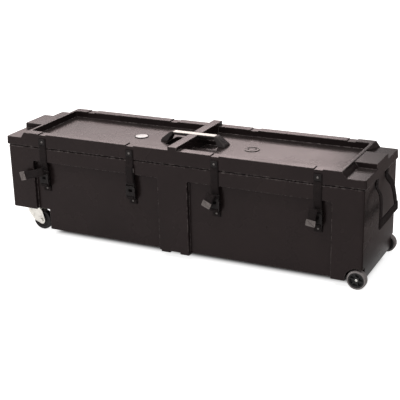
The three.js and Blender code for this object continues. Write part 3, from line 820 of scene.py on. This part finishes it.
# %% Lid
def strap_notches(inset):
    shape, wide = bmesh.new(), NOTCH_HALF + inset
    for x in STATIONS:
        for side in (-1, 1):
            near, far = span(side, HALF_DEPTH - RIM_WIDTH - 3, HALF_DEPTH + PAST)
            low = (x - wide, near, RIM_TOP - NOTCH_DEEP - inset)
            block(shape, low, (x + wide, far, RIM_TOP + ABOVE))
    return shape


lid = lid_form(0)
soften_object(lid, 4, below=LID_LOW + 1)
soften_object(lid, 2, above=LID_LOW + 5)
carve(lid, strap_notches(0))
hollow = lid_form(WALL)
carve(hollow, strap_notches(WALL))
carve(lid, hollow, solver="MANIFOLD")
lid_shell = finish(lid, "lid_moulding", "lid", SHELL, ["lid_shell"])
print("lid:", len(lid_shell.data.polygons), "faces")

# %% [markdown]
# ## Webbing
# A strap is a flat strip that follows a path and turns corners without stretching. It
# could be a curve with a flat bevel, but then the weave would have no map to follow. Here
# one edge of the strip is drawn along the path, extruded sideways in a few steps, and
# mapped in metres before a Solidify modifier gives it its thickness.

# %% Ribbons
WEB_WIDTH, WEB_THICK = 28, 1.9
BEND_STEPS, STRIPS = 4, 4
STITCH_HALF, STITCH_LONG = 0.55, 2.6


def rounded(path, bend):
    """The path with its corners turned into short curves."""
    path = [Vector(point) for point in path]
    points = path[:1]
    for before, corner, after in zip(path, path[1:], path[2:]):
        reach = min(bend, (before - corner).length * 0.48, (after - corner).length * 0.48)
        enter = corner + (before - corner).normalized() * reach
        leave = corner + (after - corner).normalized() * reach
        for k in range(BEND_STEPS + 1):
            t = k / BEND_STEPS
            points.append(enter.lerp(corner, t).lerp(corner.lerp(leave, t), t))
    return points + path[-1:]


def ribbon(path, across, bend=4):
    """A flat strip centred on a path of (x, y, z) points, as a bmesh with a weave map."""
    shape = bmesh.new()
    run = shape.verts.layers.float.new("run")
    side = shape.verts.layers.float.new("side")
    across = Vector(across).normalized()
    points = rounded(path, bend)
    row, travelled = [], 0
    for k, point in enumerate(points):
        travelled += (point - points[k - 1]).length if k else 0
        vert = shape.verts.new(point - across * WEB_WIDTH / 2)
        vert[run] = travelled
        row.append(vert)
    edges = [shape.edges.new(pair) for pair in zip(row, row[1:])]
    for strip in range(1, STRIPS + 1):
        pushed = bmesh.ops.extrude_edge_only(shape, edges=edges)["geom"]
        fresh = [item for item in pushed if isinstance(item, bmesh.types.BMVert)]
        lines = [item for item in pushed if isinstance(item, bmesh.types.BMEdge)]
        edges = [edge for edge in lines if all(vert in fresh for vert in edge.verts)]
        bmesh.ops.translate(shape, vec=across * WEB_WIDTH / STRIPS, verts=fresh)
        for vert in fresh:
            vert[side] = WEB_WIDTH * strip / STRIPS
    weave_map = shape.loops.layers.uv.new("weave")
    for face in shape.faces:
        for loop in face.loops:
            loop[weave_map].uv = (loop.vert[side] * MM, loop.vert[run] * MM)
    return shape


def webbing(shape, name, body, replaced=(), thick=WEB_THICK):
    """Gives a strip its thickness and finish. Webbing over a hinge is given no body."""
    piece = as_object(shape, name)
    thickness = piece.modifiers.new("thickness", "SOLIDIFY")
    thickness.thickness = thick * MM
    thickness.offset = 0
    thickness.use_even_offset = True
    return finish(piece, name, body, WEBBING, replaced, sharp=60, weighted=False)


# %% [markdown]
# The stitches that hold the folded webbing are small humps in rows. A normal map could
# draw them, but real humps catch the light at the silhouette. There are a few hundred, so
# each is the plainest ball of triangles, flattened and turned along its row.

# %% Stitches
def stitches(rows, name, body, out=(0, -1, 0)):
    """Small humped stitches along straight rows: each row is a start, an end and a count."""
    shape = bmesh.new()
    normal = Vector(out)
    size = Matrix.Diagonal((STITCH_LONG / 2, STITCH_HALF, STITCH_HALF, 1))
    for start, end, count in rows:
        start, end = Vector(start), Vector(end)
        along = (end - start).normalized()
        frame_of = Matrix((along, normal.cross(along), normal)).transposed().to_4x4()
        for k in range(count):
            spot = Matrix.Translation(start.lerp(end, (k + 0.5) / count))
            bmesh.ops.create_icosphere(
                shape, subdivisions=1, radius=1, matrix=spot @ frame_of @ size
            )
    finish(shape, name, body, THREAD, sharp=180, weighted=False)


# %% [markdown]
# ## Straps
# Each strap is folded and riveted to the lid, runs down over the seam, round the bar of
# its buckle and out at the front as a loose end. Three ends hang in front, each at its
# own angle, and the second is tucked up behind its own strap.

# %% Straps on the front
STRAP_Y = FRONT_FACE - 0.3 - 1
BUCKLE_FRONT, BUCKLE_BACK = -186, -174
BUCKLE_TOP, BUCKLE_JOIN, BUCKLE_LOW = 251, 238, 197
BAR_BACK, BAR_FRONT, BAR_PASS = BUCKLE_BACK - 2.2, BUCKLE_FRONT + 2.2, 244
ROOT_Y = BUCKLE_FRONT - 1.8
TIP_LENGTH, TIP_HALF, TIP_THICK = 21, 15.5, 5
TAIL_Y = FRONT_FACE - 25 + TIP_THICK / 2
STRAP_TOP = 370
TAILS = ((-2, 74, 90), None, (-8, 24, 41), (-8, 8, 50))

for number, (x, tail) in enumerate(zip(STATIONS, TAILS), 1):
    if tail:
        path = [(STRAP_Y, STRAP_TOP), (STRAP_Y, 281), (BAR_BACK, 256), (BAR_BACK, BAR_PASS)]
        path += [(BAR_FRONT, BAR_PASS), (BAR_FRONT, 249), (ROOT_Y, 253.5)]
    else:
        path = [(STRAP_Y, STRAP_TOP), (STRAP_Y, 320), (STRAP_Y - 6.5, 308), (STRAP_Y - 6.5, 285)]
        path += [(BAR_FRONT, 262), (BAR_FRONT, BAR_PASS), (BAR_BACK, BAR_PASS)]
        path += [(BAR_BACK, 256), (STRAP_Y, 270), (STRAP_Y, 288)]
    strip = ribbon([(x, y, z) for y, z in path], (1, 0, 0))
    webbing(strip, f"strap_{number}", "lid", [f"lid_strap_{number}"])
    edge = STRAP_Y - WEB_THICK / 2 - 0.1
    rows = [((x + k, edge, STRAP_TOP - 3), (x + k, edge, 345), 7) for k in (-11, 11)]
    rows += [((x - 11, edge, z), (x + 11, edge, z), 6) for z in (345, STRAP_TOP - 3)]
    stitches(rows, f"strap_stitching_{number}", "lid")
print("four straps")

# %% [markdown]
# A loose end leaves its buckle with a small curl and then hangs. It is drawn hanging
# straight down, and then turned in the plane of the front, about the top of the buckle.
# The grey clip is a folded plastic plate with a raised frame and gripping ribs.

# %% Loose ends and their clips
def hung(shape, x, tail):
    """Moves what is drawn hanging straight down at X 0 to its buckle, at its own angle."""
    shift, angle, _ = tail
    place = Matrix.Translation((x + shift, 0, BUCKLE_TOP))
    turn = Matrix.Rotation(math.radians(angle), 4, "Y")
    bmesh.ops.transform(shape, matrix=place @ turn, verts=shape.verts)
    return shape


def clip(middle, low):
    front, behind = middle - TIP_THICK / 2, middle + TIP_THICK / 2
    corner = (TIP_HALF, behind, low + TIP_LENGTH)
    shape = tidy(blocks(((-TIP_HALF, front, low), corner, 2.5, 1, 3)))
    face = min(shape.faces, key=lambda f: f.calc_center_median().y)
    bmesh.ops.inset_region(shape, faces=[face], thickness=2.2, depth=0)
    bmesh.ops.inset_region(shape, faces=[face], thickness=0.4, depth=-0.7)
    for k in range(4):
        z = low + 4.6 + k * 3.9
        block(shape, (-TIP_HALF + 4, front + 0.15, z), (TIP_HALF - 4, front + 1, z + 1.5))
    return soften(shape, 0.35, 2)


for number, (x, tail) in enumerate(zip(STATIONS, TAILS), 1):
    if tail:
        length = tail[2]
        path = [(ROOT_Y - 0.2, 3), (ROOT_Y - 2, 5.5), (ROOT_Y - 7, 3), (TAIL_Y + 1, -12)]
        path += [(TAIL_Y, -length + TIP_LENGTH), (TAIL_Y, -length + 4)]
        strip = hung(ribbon([(0, y, z) for y, z in path], (1, 0, 0), bend=6), x, tail)
        webbing(strip, f"loose_end_{number}", "lid", [f"lid_strap_{number}"])
        shape = hung(clip(TAIL_Y, -length), x, tail)
    else:
        behind = STRAP_Y - 1.3
        low, high = (x - TIP_HALF, behind - 1.1, 290), (x + TIP_HALF, behind, 306)
        shape = soften(blocks((low, high, 1.5, 1, 2)), 0.25, 1)
    finish(shape, f"strap_clip_{number}", "lid", TIP, [f"tail_tip_{number}"])
print("four loose ends and clips")

# %% [markdown]
# ## Buckles
# A side-release buckle has a hollow lower half and an upper half with a bar for the
# strap. Both are cut from rounded blocks: the windows that show the prongs and the slots
# for the webbing go right through.

# %% Buckle halves
PRONGS = ((-13.5, -8.5), (-3, 3), (8.5, 13.5))
SOCKET_SKIN = 1.4
THROUGH = (-220, -150)


def lower_half():
    low, high = (-17.5, BUCKLE_FRONT, BUCKLE_LOW), (17.5, BUCKLE_BACK, BUCKLE_JOIN - 0.2)
    half = solid(soften(blocks((low, high, 4, 1, 4)), 1.3))
    front, behind = BUCKLE_FRONT + SOCKET_SKIN, BUCKLE_BACK - SOCKET_SKIN
    carve(half, blocks(((-15.2, front, 212), (15.2, behind, BUCKLE_JOIN + PAST))))
    carve(half, blocks(((-30, front + 1, 215), (30, behind - 1, 229), 2, 0, 2)))
    web_slot = ((-14.8, THROUGH[0], 201.5), (14.8, THROUGH[1], 206.5), 1, 1, 2)
    window = ((-8, THROUGH[0], 221), (8, front + 1, 232), 2.5, 1, 3)
    carve(half, blocks(web_slot, window))
    ridges = bmesh.new()
    for z in (209.5, 212.7, 215.9):
        low, high = (-11, BUCKLE_FRONT - 0.7, z), (11, BUCKLE_FRONT + 0.6, z + 1.3)
        block(ridges, low, high, 0.5, axis=0, steps=2)
    carve(half, ridges, "UNION")
    return half


def upper_half():
    bottom = BUCKLE_JOIN + 0.2
    low, high = (-16.5, BUCKLE_FRONT, bottom), (16.5, BUCKLE_BACK, BUCKLE_TOP)
    half = solid(soften(blocks((low, high, 2.5, 1, 3)), 0.9, 2))
    low, high = (-14.8, THROUGH[0], bottom + 3.4), (14.8, THROUGH[1], BUCKLE_TOP - 1.8)
    carve(half, blocks((low, high, 1, 1, 2)))
    low, high = (-15.3, BUCKLE_FRONT + 3.5, 246), (15.3, BUCKLE_BACK - 3.5, BUCKLE_TOP - 0.6)
    inner = blocks((low, high, 1.2, 0, 3))
    for start, end in PRONGS:
        low = (start, BUCKLE_BACK - 7.5, BUCKLE_JOIN - 8.5)
        block(inner, low, (end, BUCKLE_BACK - 2, bottom + 1), 1, steps=2)
    carve(half, inner, "UNION")
    return half


def copies(master, names, body, replaced):
    """One finished buckle half for each station, made from one master drawn at X 0."""
    for number, x in enumerate(STATIONS, 1):
        piece = linked("work", master.data.copy())
        piece.data.transform(Matrix.Translation((x, 0, 0)))
        finish(piece, f"{names}_{number}", body, BUCKLE, [f"{replaced}_{number}"])
    discard(master)


copies(lower_half(), "buckle_lower", "base", "buckle_female")
copies(upper_half(), "buckle_upper", "lid", "buckle_male")
print("four buckles")

# %% [markdown]
# A short web holds each buckle to the recessed panel. It goes through the slot, round the
# end bar and back, and one rivet holds both layers. The rivets themselves are turned: a
# domed head, a shank, and a washer with the clenched end inside the case.

# %% Anchor webs and rivets
ANCHOR_Y = PANEL_FACE - 0.3 - 1
PANEL_RIVET_Z, LID_RIVET_Z = 184, 357
WASHER, WASHER_HALF = 1.2, 10.5
RIVET_HEAD = 3.9


def rivet(spot, outer, inner, axis=1):
    """A rivet along an axis: spot is on the axis, outer and inner are where it seats."""
    way = 1 if outer < inner else -1
    dome = [(0.35, -2.3), (0.7, -1.8), (0.93, -0.9), (1, -0.2), (1, 0)]
    dome = [(0.01, -2.4)] + [(RIVET_HEAD * share, rise) for share, rise in dome]
    clench = [(2.5, 0), (6.5, 0), (6.5, 0.9), (3.4, 0.9), (2.6, 1.9), (0.01, 2.1)]
    profile = [(r, outer + way * a) for r, a in dome] + [(2.5, outer)]
    profile += [(r, inner + way * a) for r, a in clench]
    return turned(bmesh.new(), profile, spot, axis=axis, segments=24)


for number, x in enumerate(STATIONS, 1):
    doubled = ANCHOR_Y - 2.1
    path = [(ANCHOR_Y, 173), (ANCHOR_Y, 190), (-171.5, 198), (-175, 204), (-187.4, 204.2)]
    path += [(-187.9, 196), (-176, 194.6), (doubled - 1.2, 190), (doubled, 186), (doubled, 173)]
    strip = ribbon([(x, y, z) for y, z in path], (1, 0, 0), bend=3)
    webbing(strip, f"anchor_{number}", "base", [f"anchor_web_{number}"])
    seat = doubled - WEB_THICK / 2 - 0.05
    head = rivet((x, 0, PANEL_RIVET_Z), seat, PANEL_FACE + WALL)
    finish(head, f"panel_rivet_{number}", "base", NICKEL, [f"base_rivet_{number}"])
    seat = STRAP_Y - WEB_THICK / 2 - 0.05
    low = (x - WASHER_HALF, seat - WASHER, LID_RIVET_Z - WASHER_HALF)
    washer = blocks((low, (x + WASHER_HALF, seat, LID_RIVET_Z + WASHER_HALF), 2.5, 1))
    finish(soften(washer, 0.3, 2), f"strap_plate_{number}", "lid", BUCKLE)
    head = rivet((x, 0, LID_RIVET_Z), seat - WASHER, FRONT_FACE + WALL)
    finish(head, f"strap_rivet_{number}", "lid", NICKEL, [f"lid_rivet_{number}"])
print("anchor webs and eight rivets")

# %% [markdown]
# ## Hinge webs
# At the back, a web at each station is riveted to both shells across the seam, and belongs
# to neither of them.
# The two rivets stand to either side, so that their heads pass each other when the lid
# hangs down.

# %% Hinges
HINGE_Y = HALF_DEPTH + 0.3 + 1
HINGE_Z, HINGE_STEPS = (296, 370), 14
HINGE_RIVETS = (("low", 309, "base", -1), ("high", LID_RIVET_Z, "lid", 1))
HINGE_STAGGER = 6

for number, x in enumerate(STATIONS, 1):
    rise = HINGE_Z[1] - HINGE_Z[0]
    run_up = [HINGE_Z[0] + rise * k / HINGE_STEPS for k in range(HINGE_STEPS + 1)]
    strip = ribbon([(x, HINGE_Y, z) for z in run_up], (-1, 0, 0), bend=1)
    halves = [f"hinge_web_lower_{number}", f"hinge_web_upper_{number}"]
    web = webbing(strip, f"hinge_{number}", None, halves)
    y = HINGE_Y * MM + CASE_SHIFT
    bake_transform(web)
    seat = HINGE_Y + WEB_THICK / 2 + 0.05
    for label, z, body, side in HINGE_RIVETS:
        head = rivet((x + side * HINGE_STAGGER, 0, z), seat, HALF_DEPTH - WALL)
        finish(head, f"hinge_rivet_{label}_{number}", body, NICKEL)
        edge = seat + 0.05
        rows = [((x - 10, edge, z + side * k), (x + 10, edge, z + side * k), 6) for k in (-8.5, 9)]
        stitches(rows, f"hinge_stitching_{label}_{number}", body, out=(0, 1, 0))
print("four hinges")

# %% [markdown]
# ## Castors
# A swivel castor hangs from a stamped plate with a raised ball race, which four bolts hold
# to the case. The plate is a rounded block. The race is turned, and so are the bolts, whose
# heads are turned with six steps to make them hexagons.

# %% Castor plates and bolts
CASTOR_X, CASTOR_INSET, TRAIL = -605, 64, 29
CASTOR_RADIUS = 37.5
PLATE_TOP, PLATE_THICK = BAY_TOP - 0.3, 3
PLATE_HALF, BOLTS_HALF = (42, 32), (33, 23)


def hexagon(shape, spot, half_across, low, high, axis=1):
    """Adds a six-sided bolt head or nut with softened corners."""
    narrow = half_across * 0.9
    profile = [(0.01, low), (narrow, low), (half_across, low + 0.5), (half_across, high - 0.5)]
    profile += [(narrow, high), (0.01, high)]
    merge(shape, tidy(turned(bmesh.new(), profile, spot, axis=axis, segments=6)))


def castor_mount(label, y):
    long, wide = PLATE_HALF
    low = (CASTOR_X - long, y - wide, PLATE_TOP - PLATE_THICK)
    high = (CASTOR_X + long, y + wide, PLATE_TOP)
    race = [(0.01, PLATE_TOP - 2), (24, PLATE_TOP - 2), (25, PLATE_TOP - 4.5), (23.5, 90.4)]
    race += [(19, 90.1), (5, 90.1), (5, 82), (7.5, 81.5), (7.5, 79.2), (5, 78.4), (0.01, 78.2)]
    shape = soften(blocks((low, high, 6)), 0.7, 2)
    turned(shape, race, (CASTOR_X, y, 0), axis=2, segments=36)
    finish(shape, f"castor_mount_{label}", "base", ZINC, [f"castor_plate_{label}"])


def castor_bolts(label, y):
    shape = bmesh.new()
    shank = [(2.5, PLATE_TOP), (2.5, BAY_TOP + 8), (5.5, BAY_TOP + 8), (5.5, BAY_TOP + 5)]
    long, wide = BOLTS_HALF
    for dx in (-long, long):
        for dy in (-wide, wide):
            spot = (CASTOR_X + dx, y + dy, 0)
            hexagon(shape, spot, 5, PLATE_TOP - 6.6, PLATE_TOP - 3.05, axis=2)
            turned(shape, shank, spot, axis=2, segments=12)
    finish(shape, f"castor_bolts_{label}", "base", ZINC)


# %% [markdown]
# The fork is folded from one sheet. It could be bent step by step, but its two legs are
# alike, so their side outline is pushed out to the full width and the gap for the wheel is
# cut from it. The crown that turns on the race is joined on top.

# %% Castor forks
CROWN_LOW = 83
LEG_HALF, GAP_HALF = 16.5, 14


def arc(centre, radius, start, end, steps):
    """Points (x, z) on an arc, with angles in degrees from +X towards +Z."""
    turns = [math.radians(start + (end - start) * k / steps) for k in range(steps + 1)]
    return [(centre[0] + radius * math.cos(t), centre[1] + radius * math.sin(t)) for t in turns]


def castor_fork(label, y):
    foot = (CASTOR_X + TRAIL, CASTOR_RADIUS)
    leg = [(CASTOR_X - 26, CROWN_LOW + 3), (CASTOR_X - 27.5, CROWN_LOW - 8), (CASTOR_X - 26, 66)]
    leg += [(CASTOR_X - 5, 39), (CASTOR_X + 1, 34)] + arc(foot, 14.6, 230, 365, 12)
    leg += [(foot[0] + 5.4, 74), (CASTOR_X + 26, CROWN_LOW - 1), (CASTOR_X + 24, CROWN_LOW + 3)]
    fork = solid(slab(leg, 1, y - LEG_HALF, y + LEG_HALF))
    low, high = (CASTOR_X - 70, y - GAP_HALF, -9), (CASTOR_X + 90, y + GAP_HALF, CROWN_LOW - 3)
    carve(fork, blocks((low, high, 3, 0, 3)))
    crown = [(5.4, 80), (22, 80), (25, 82.5), (26, 87), (24, 89.6), (5.4, 89.6), (5.4, 80)]
    carve(fork, turned(bmesh.new(), crown, (CASTOR_X, y, 0), axis=2), "UNION")
    soften_object(fork, 0.7, 2, angle=50)
    finish(fork, f"castor_yoke_{label}", f"{label}_fork", ZINC, [f"castor_fork_{label}"])


# %% [markdown]
# The wheel is one turned profile: a hub, a thin web and a thick tread, the same on both
# sides, so only half of the profile is written. Its bolt and nut turn with the fork.

# %% Castor wheels
CASTOR_TREAD = [(35, -11.2), (37, -8), (37.5, -4), (37.5, 4), (37, 8), (35, 11.2)]
CASTOR_RIM = [(4.4, -13), (10, -13), (11.5, -11.5), (12.5, -7.5), (24, -6.5), (26, -9.5)]
CASTOR_RIM += [(28, -11.5), (32, -12)]


def castor_wheel(label, y):
    centre = (CASTOR_X + TRAIL, y, CASTOR_RADIUS)
    profile = CASTOR_RIM + CASTOR_TREAD + [(r, -a) for r, a in reversed(CASTOR_RIM)]
    shape = turned(bmesh.new(), profile + CASTOR_RIM[:1], centre, segments=56)
    wheel, replaced = f"{label}_castor_wheel", [f"castor_wheel_{label}"]
    finish(shape, f"castor_roller_{label}", wheel, TREAD, replaced)
    shank = [(0.01, -20), (4, -20), (4, 23), (3, 24), (0.01, 24)]
    shape = turned(bmesh.new(), shank, centre, segments=20)
    hexagon(shape, centre, 7, -21.5, -16.8)
    hexagon(shape, centre, 7, 16.8, 21.8)
    finish(shape, f"castor_bolt_{label}", f"{label}_fork", ZINC, [f"castor_axle_{label}"])


for label, side in SIDES:
    y = side * (HALF_DEPTH - CASTOR_INSET)
    for make in (castor_mount, castor_bolts, castor_fork, castor_wheel):
        make(label, y)
print("two castors")

# %% [markdown]
# ## Corner wheels
# A fixed wheel sits in each arch at the right end. Its hub is a moulding with six spokes
# between a boss and a rim, and a grey rubber ring is pressed over it. Hub and ring are
# turned profiles; the spokes are blocks turned round the axle.

# %% Corner wheels
DRUM = [(4.4, 22), (9, 22), (10, 20), (10.6, 13.5), (20.4, 13.5), (21.5, 22), (25.9, 22)]
DRUM += [(25.9, 2.2), (24.6, 1.4), (22.2, 1.6), (21, 3), (20.4, 10), (10.6, 10), (9.6, 3)]
DRUM += [(8.6, 2.2), (7.2, 2.2), (6.8, 3.4), (4.4, 3.4), (4.4, 22)]
RING = [(26.2, 24), (28.5, 24), (30.6, 23), (31.8, 20.5), (32, 17), (32, 7), (31.8, 3.5)]
RING += [(30.6, 1), (28.5, 0), (26.2, 0), (26.2, 24)]
BOLT = [(0.01, 1), (2.6, 1.2), (4, 1.8), (4.5, 2.5), (4.5, 3), (4, 3), (4, 22.3), (7, 22.3)]
BOLT += [(7, 29.7), (4, 29.7), (4, 34), (0.01, 34)]
SPOKES, FIRST_SPOKE, SPOKE_HALF = 6, 12, 1.6


def round_axle(profile, side, segments):
    """Spins a profile of (radius, depth in from the case's face) round a wheel's axle."""
    points = [(radius, side * (HALF_DEPTH - depth)) for radius, depth in profile]
    return turned(bmesh.new(), points, (WHEEL_X, 0, WHEEL_RADIUS), segments=segments)


for label, side in SIDES:
    wheel = f"{label}_corner_wheel"
    shape = round_axle(DRUM, side, 48)
    near, far = span(side, HALF_DEPTH - 3.4, HALF_DEPTH - 12)
    for k in range(SPOKES):
        spoke = blocks(((9, near, -SPOKE_HALF), (21.5, far, SPOKE_HALF), 1.2, 0, 2))
        turn = Matrix.Rotation(math.radians(360 / SPOKES * k + FIRST_SPOKE), 4, "Y")
        place = Matrix.Translation((WHEEL_X, 0, WHEEL_RADIUS)) @ turn
        bmesh.ops.transform(spoke, matrix=place, verts=spoke.verts)
        merge(shape, spoke)
    finish(shape, f"corner_hub_{label}", wheel, HUB, [f"corner_wheel_{label}"])
    ring, replaced = round_axle(RING, side, 56), [f"corner_tyre_{label}"]
    finish(ring, f"corner_ring_{label}", wheel, TYRE, replaced)
    bolt, replaced = round_axle(BOLT, side, 28), [f"corner_axle_{label}"]
    finish(bolt, f"corner_bolt_{label}", "base", ZINC, replaced)
print("two corner wheels")

# %% [markdown]
# ## Top handle and discs
# The handle is a dark bar with a thin pale pad on top, which paints the lamp's highlight on
# its glossy top, between two sloping feet that are ribbed on their outer slopes and grow
# wider towards the tray. Beside it, two round plates lie in the tray. Both are left plain:
# one is white in a dark ring, the other dark in a pale ring.

# %% Top handle
GRIP_HALF, GRIP_WIDE = 79.7, 13
GRIP_LOW, GRIP_HIGH = 385.5, 395
FOOT_HALF, FOOT_FLARE = 14, 0.7
ON_TRAY, UNDER_TRAY = TRAY_FLOOR + 0.3, TRAY_FLOOR - WALL

low, high = (-GRIP_HALF, -GRIP_WIDE, GRIP_LOW), (GRIP_HALF, GRIP_WIDE, GRIP_HIGH)
bar = soften(tidy(blocks((low, high, 3.6, 0))), 0.5, 2, angle=60)
finish(bar, "carry_grip", "lid", FOOT_PAINTED_SHEEN, ["top_handle_grip"])
# A thin pale pad on the bar's top: the painted highlight of the lamp on the grip.
low = (-GRIP_HALF, -GRIP_WIDE + 1, GRIP_HIGH - 0.6)
pad = blocks((low, (GRIP_HALF, GRIP_WIDE - 1, GRIP_HIGH + 0.6), 1.5))
finish(soften(pad, 0.5, 2), "carry_grip_painted_highlight", "lid", GRIP_PAINTED_HIGHLIGHT)

outline = [(123, ON_TRAY), (121, ON_TRAY + 7), (91, GRIP_HIGH - 1), (86, GRIP_HIGH + 0.8)]
outline += [(80, GRIP_HIGH + 0.8), (80, GRIP_LOW - 3), (85, GRIP_LOW - 5), (96, ON_TRAY)]
screw = [(0.01, -2.6), (3.4, -2.2), (4.6, -0.8), (4.6, -0.05), (0.01, -0.05)]
screw = [(radius, UNDER_TRAY + rise) for radius, rise in screw]
for label, side in (("left", -1), ("right", 1)):
    shape = slab([(side * x, z) for x, z in outline], 1, -FOOT_HALF, FOOT_HALF)
    foot = solid(soften(tidy(shape), 2, angle=20))
    ribs = bmesh.new()
    for k in range(5):
        x, z = 117.6 - 5.2 * k, ON_TRAY + 11 + 4.35 * k
        block(ribs, (side * x - 1, -11, z - 3), (side * x + 1, 11, z + 0.6), 0.7, 1, 2)
    carve(foot, ribs, "UNION")
    for vert in foot.data.vertices:
        vert.co.y *= 1 + FOOT_FLARE * (GRIP_HIGH - vert.co.z) / (GRIP_HIGH - ON_TRAY)
    replaced = [f"top_handle_foot_{label}"]
    finish(foot, f"handle_foot_{label}", "lid", FOOT_PAINTED_SHEEN, replaced)
    screws = bmesh.new()
    for x in (106, 117):
        for y in (-12, 12):
            turned(screws, screw, (side * x, y, 0), axis=2, segments=18)
    finish(screws, f"handle_screws_{label}", "lid", ZINC)

# %% Discs
BADGE_X, EMBLEM_X = -210, 214


def dish(x, profile, name, material, replaced=()):
    points = [(radius, ON_TRAY + rise) for radius, rise in profile]
    shape = turned(bmesh.new(), points, (x, 0, 0), axis=2, segments=56)
    finish(shape, name, "lid", material, replaced)


badge = [(0.01, 0), (21.6, 0), (22, 0.5), (22, 1.7), (21.2, 2.4), (18, 2.7), (0.01, 3)]
dark_ring = [(22.2, 0), (24.4, 0), (24.6, 1.2), (23.8, 2), (22.8, 2), (22.2, 1.4), (22.2, 0)]
pale_ring = [(23.4, 0), (26, 0), (26, 1.4), (25.2, 2.1), (24.2, 2.1), (23.4, 1.4), (23.4, 0)]
plain_dark = [(0.01, 0), (23.2, 0), (23.2, 1), (22.6, 1.4), (16.2, 1.6), (15.8, 0.6)]
plain_dark += [(12.2, 0.6), (11.8, 1.6), (0.01, 1.8)]
inner_ring = [(12, 0.7), (16, 0.7), (16, 1.3), (12, 1.3), (12, 0.7)]
dish(BADGE_X, badge, "white_badge", DISC, ["badge_disc"])
dish(BADGE_X, dark_ring, "white_badge_ring", EMBLEM)
dish(EMBLEM_X, plain_dark, "dark_emblem", SHELL, ["emblem_disc"])
dish(EMBLEM_X, inner_ring, "dark_emblem_band", EMBLEM)
dish(EMBLEM_X, pale_ring, "dark_emblem_ring", TIP)
print("handle and discs")

# %% [markdown]
# ## End handles
# A loop of doubled webbing hangs on each end. Its two tabs are riveted flat to the wall
# below the seam, its legs spread and stand off the wall as they fall, and a straight run
# joins them at folded corners. Each stretch is its own ribbon, so the weave turns at the
# folds as it does on the real one. The legs belong to no body; the run belongs to the handle.

# %% End handles
LEG_TOP_Z, LEG_LOW_Z = 326, 183
LEG_TOP_Y, LEG_LOW_Y = 52, 93
LEG_LEAN = (LEG_LOW_Y - LEG_TOP_Y) / (LEG_TOP_Z - LEG_LOW_Z)
LEG_HEIGHTS = (331, 318, 310, 303, 297, 291, 285, 277, 269, 262, 250, 238, 225, 212, 198, 184.5)
BOW = ((2, 331), (2, 306), (9, 297), (17, 285), (22.5, 262), (26, 225), (28, 178))
RUN_Z, RUN_LEAN, DOUBLED = 197, -0.045, 2.6
END_RIVET_Z = 318


def stand_off(z):
    """How far the middle of the webbing stands from the end wall at a height."""
    for (out_a, z_a), (out_b, z_b) in zip(BOW, BOW[1:]):
        if z_b <= z <= z_a:
            return out_a + (out_b - out_a) * (z_a - z) / (z_a - z_b)


def leg_point(edge, side, z):
    leant = LEG_TOP_Y + LEG_LEAN * max(LEG_TOP_Z - z, 0)
    return (edge * (HALF_LENGTH + stand_off(z)), side * leant, z)


for label, edge in (("right", 1), ("left", -1)):
    body, replaced = f"{label}_handle", [f"end_handle_{label}"]
    for leg, side in SIDES:
        path = [leg_point(edge, side, z) for z in LEG_HEIGHTS]
        strip = ribbon(path, Vector((0, 1, side * LEG_LEAN)) * edge, bend=5)
        web = webbing(strip, f"end_handle_leg_{label}_{leg}", None, replaced, thick=DOUBLED)
        x = edge * HALF_LENGTH * MM
        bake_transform(web)
        seat, spot = edge * (HALF_LENGTH + 2 + 1.4), (0, side * LEG_TOP_Y * 1.03, END_RIVET_Z)
        head = rivet(spot, seat, edge * (HALF_LENGTH - WALL), axis=0)
        finish(head, f"end_rivet_{label}_{leg}", "base", BUCKLE)
    low_out = stand_off(RUN_Z) + 1.5
    run = [(edge * (HALF_LENGTH + low_out), y, RUN_Z) for y in range(-104, 105, 13)]
    strip = ribbon(run, (RUN_LEAN * edge, 0, edge), bend=1)
    webbing(strip, f"end_handle_run_{label}", body, replaced, thick=DOUBLED)
    face = edge * (HALF_LENGTH + low_out + 1.5)
    rows, low, high = [], RUN_Z - 10, RUN_Z + 10
    for side in (-1, 1):
        near, far = side * 82, side * 101
        for start, end, count in ((low, low, 6), (high, high, 6), (low, high, 8), (high, low, 8)):
            rows.append(((face, near, start), (face, far, end), count))
    stitches(rows, f"end_handle_stitching_{label}", body, out=(edge, 0, 0))
print("two end handles")

# %% Pieces made
print(len(made_pieces), "pieces made")
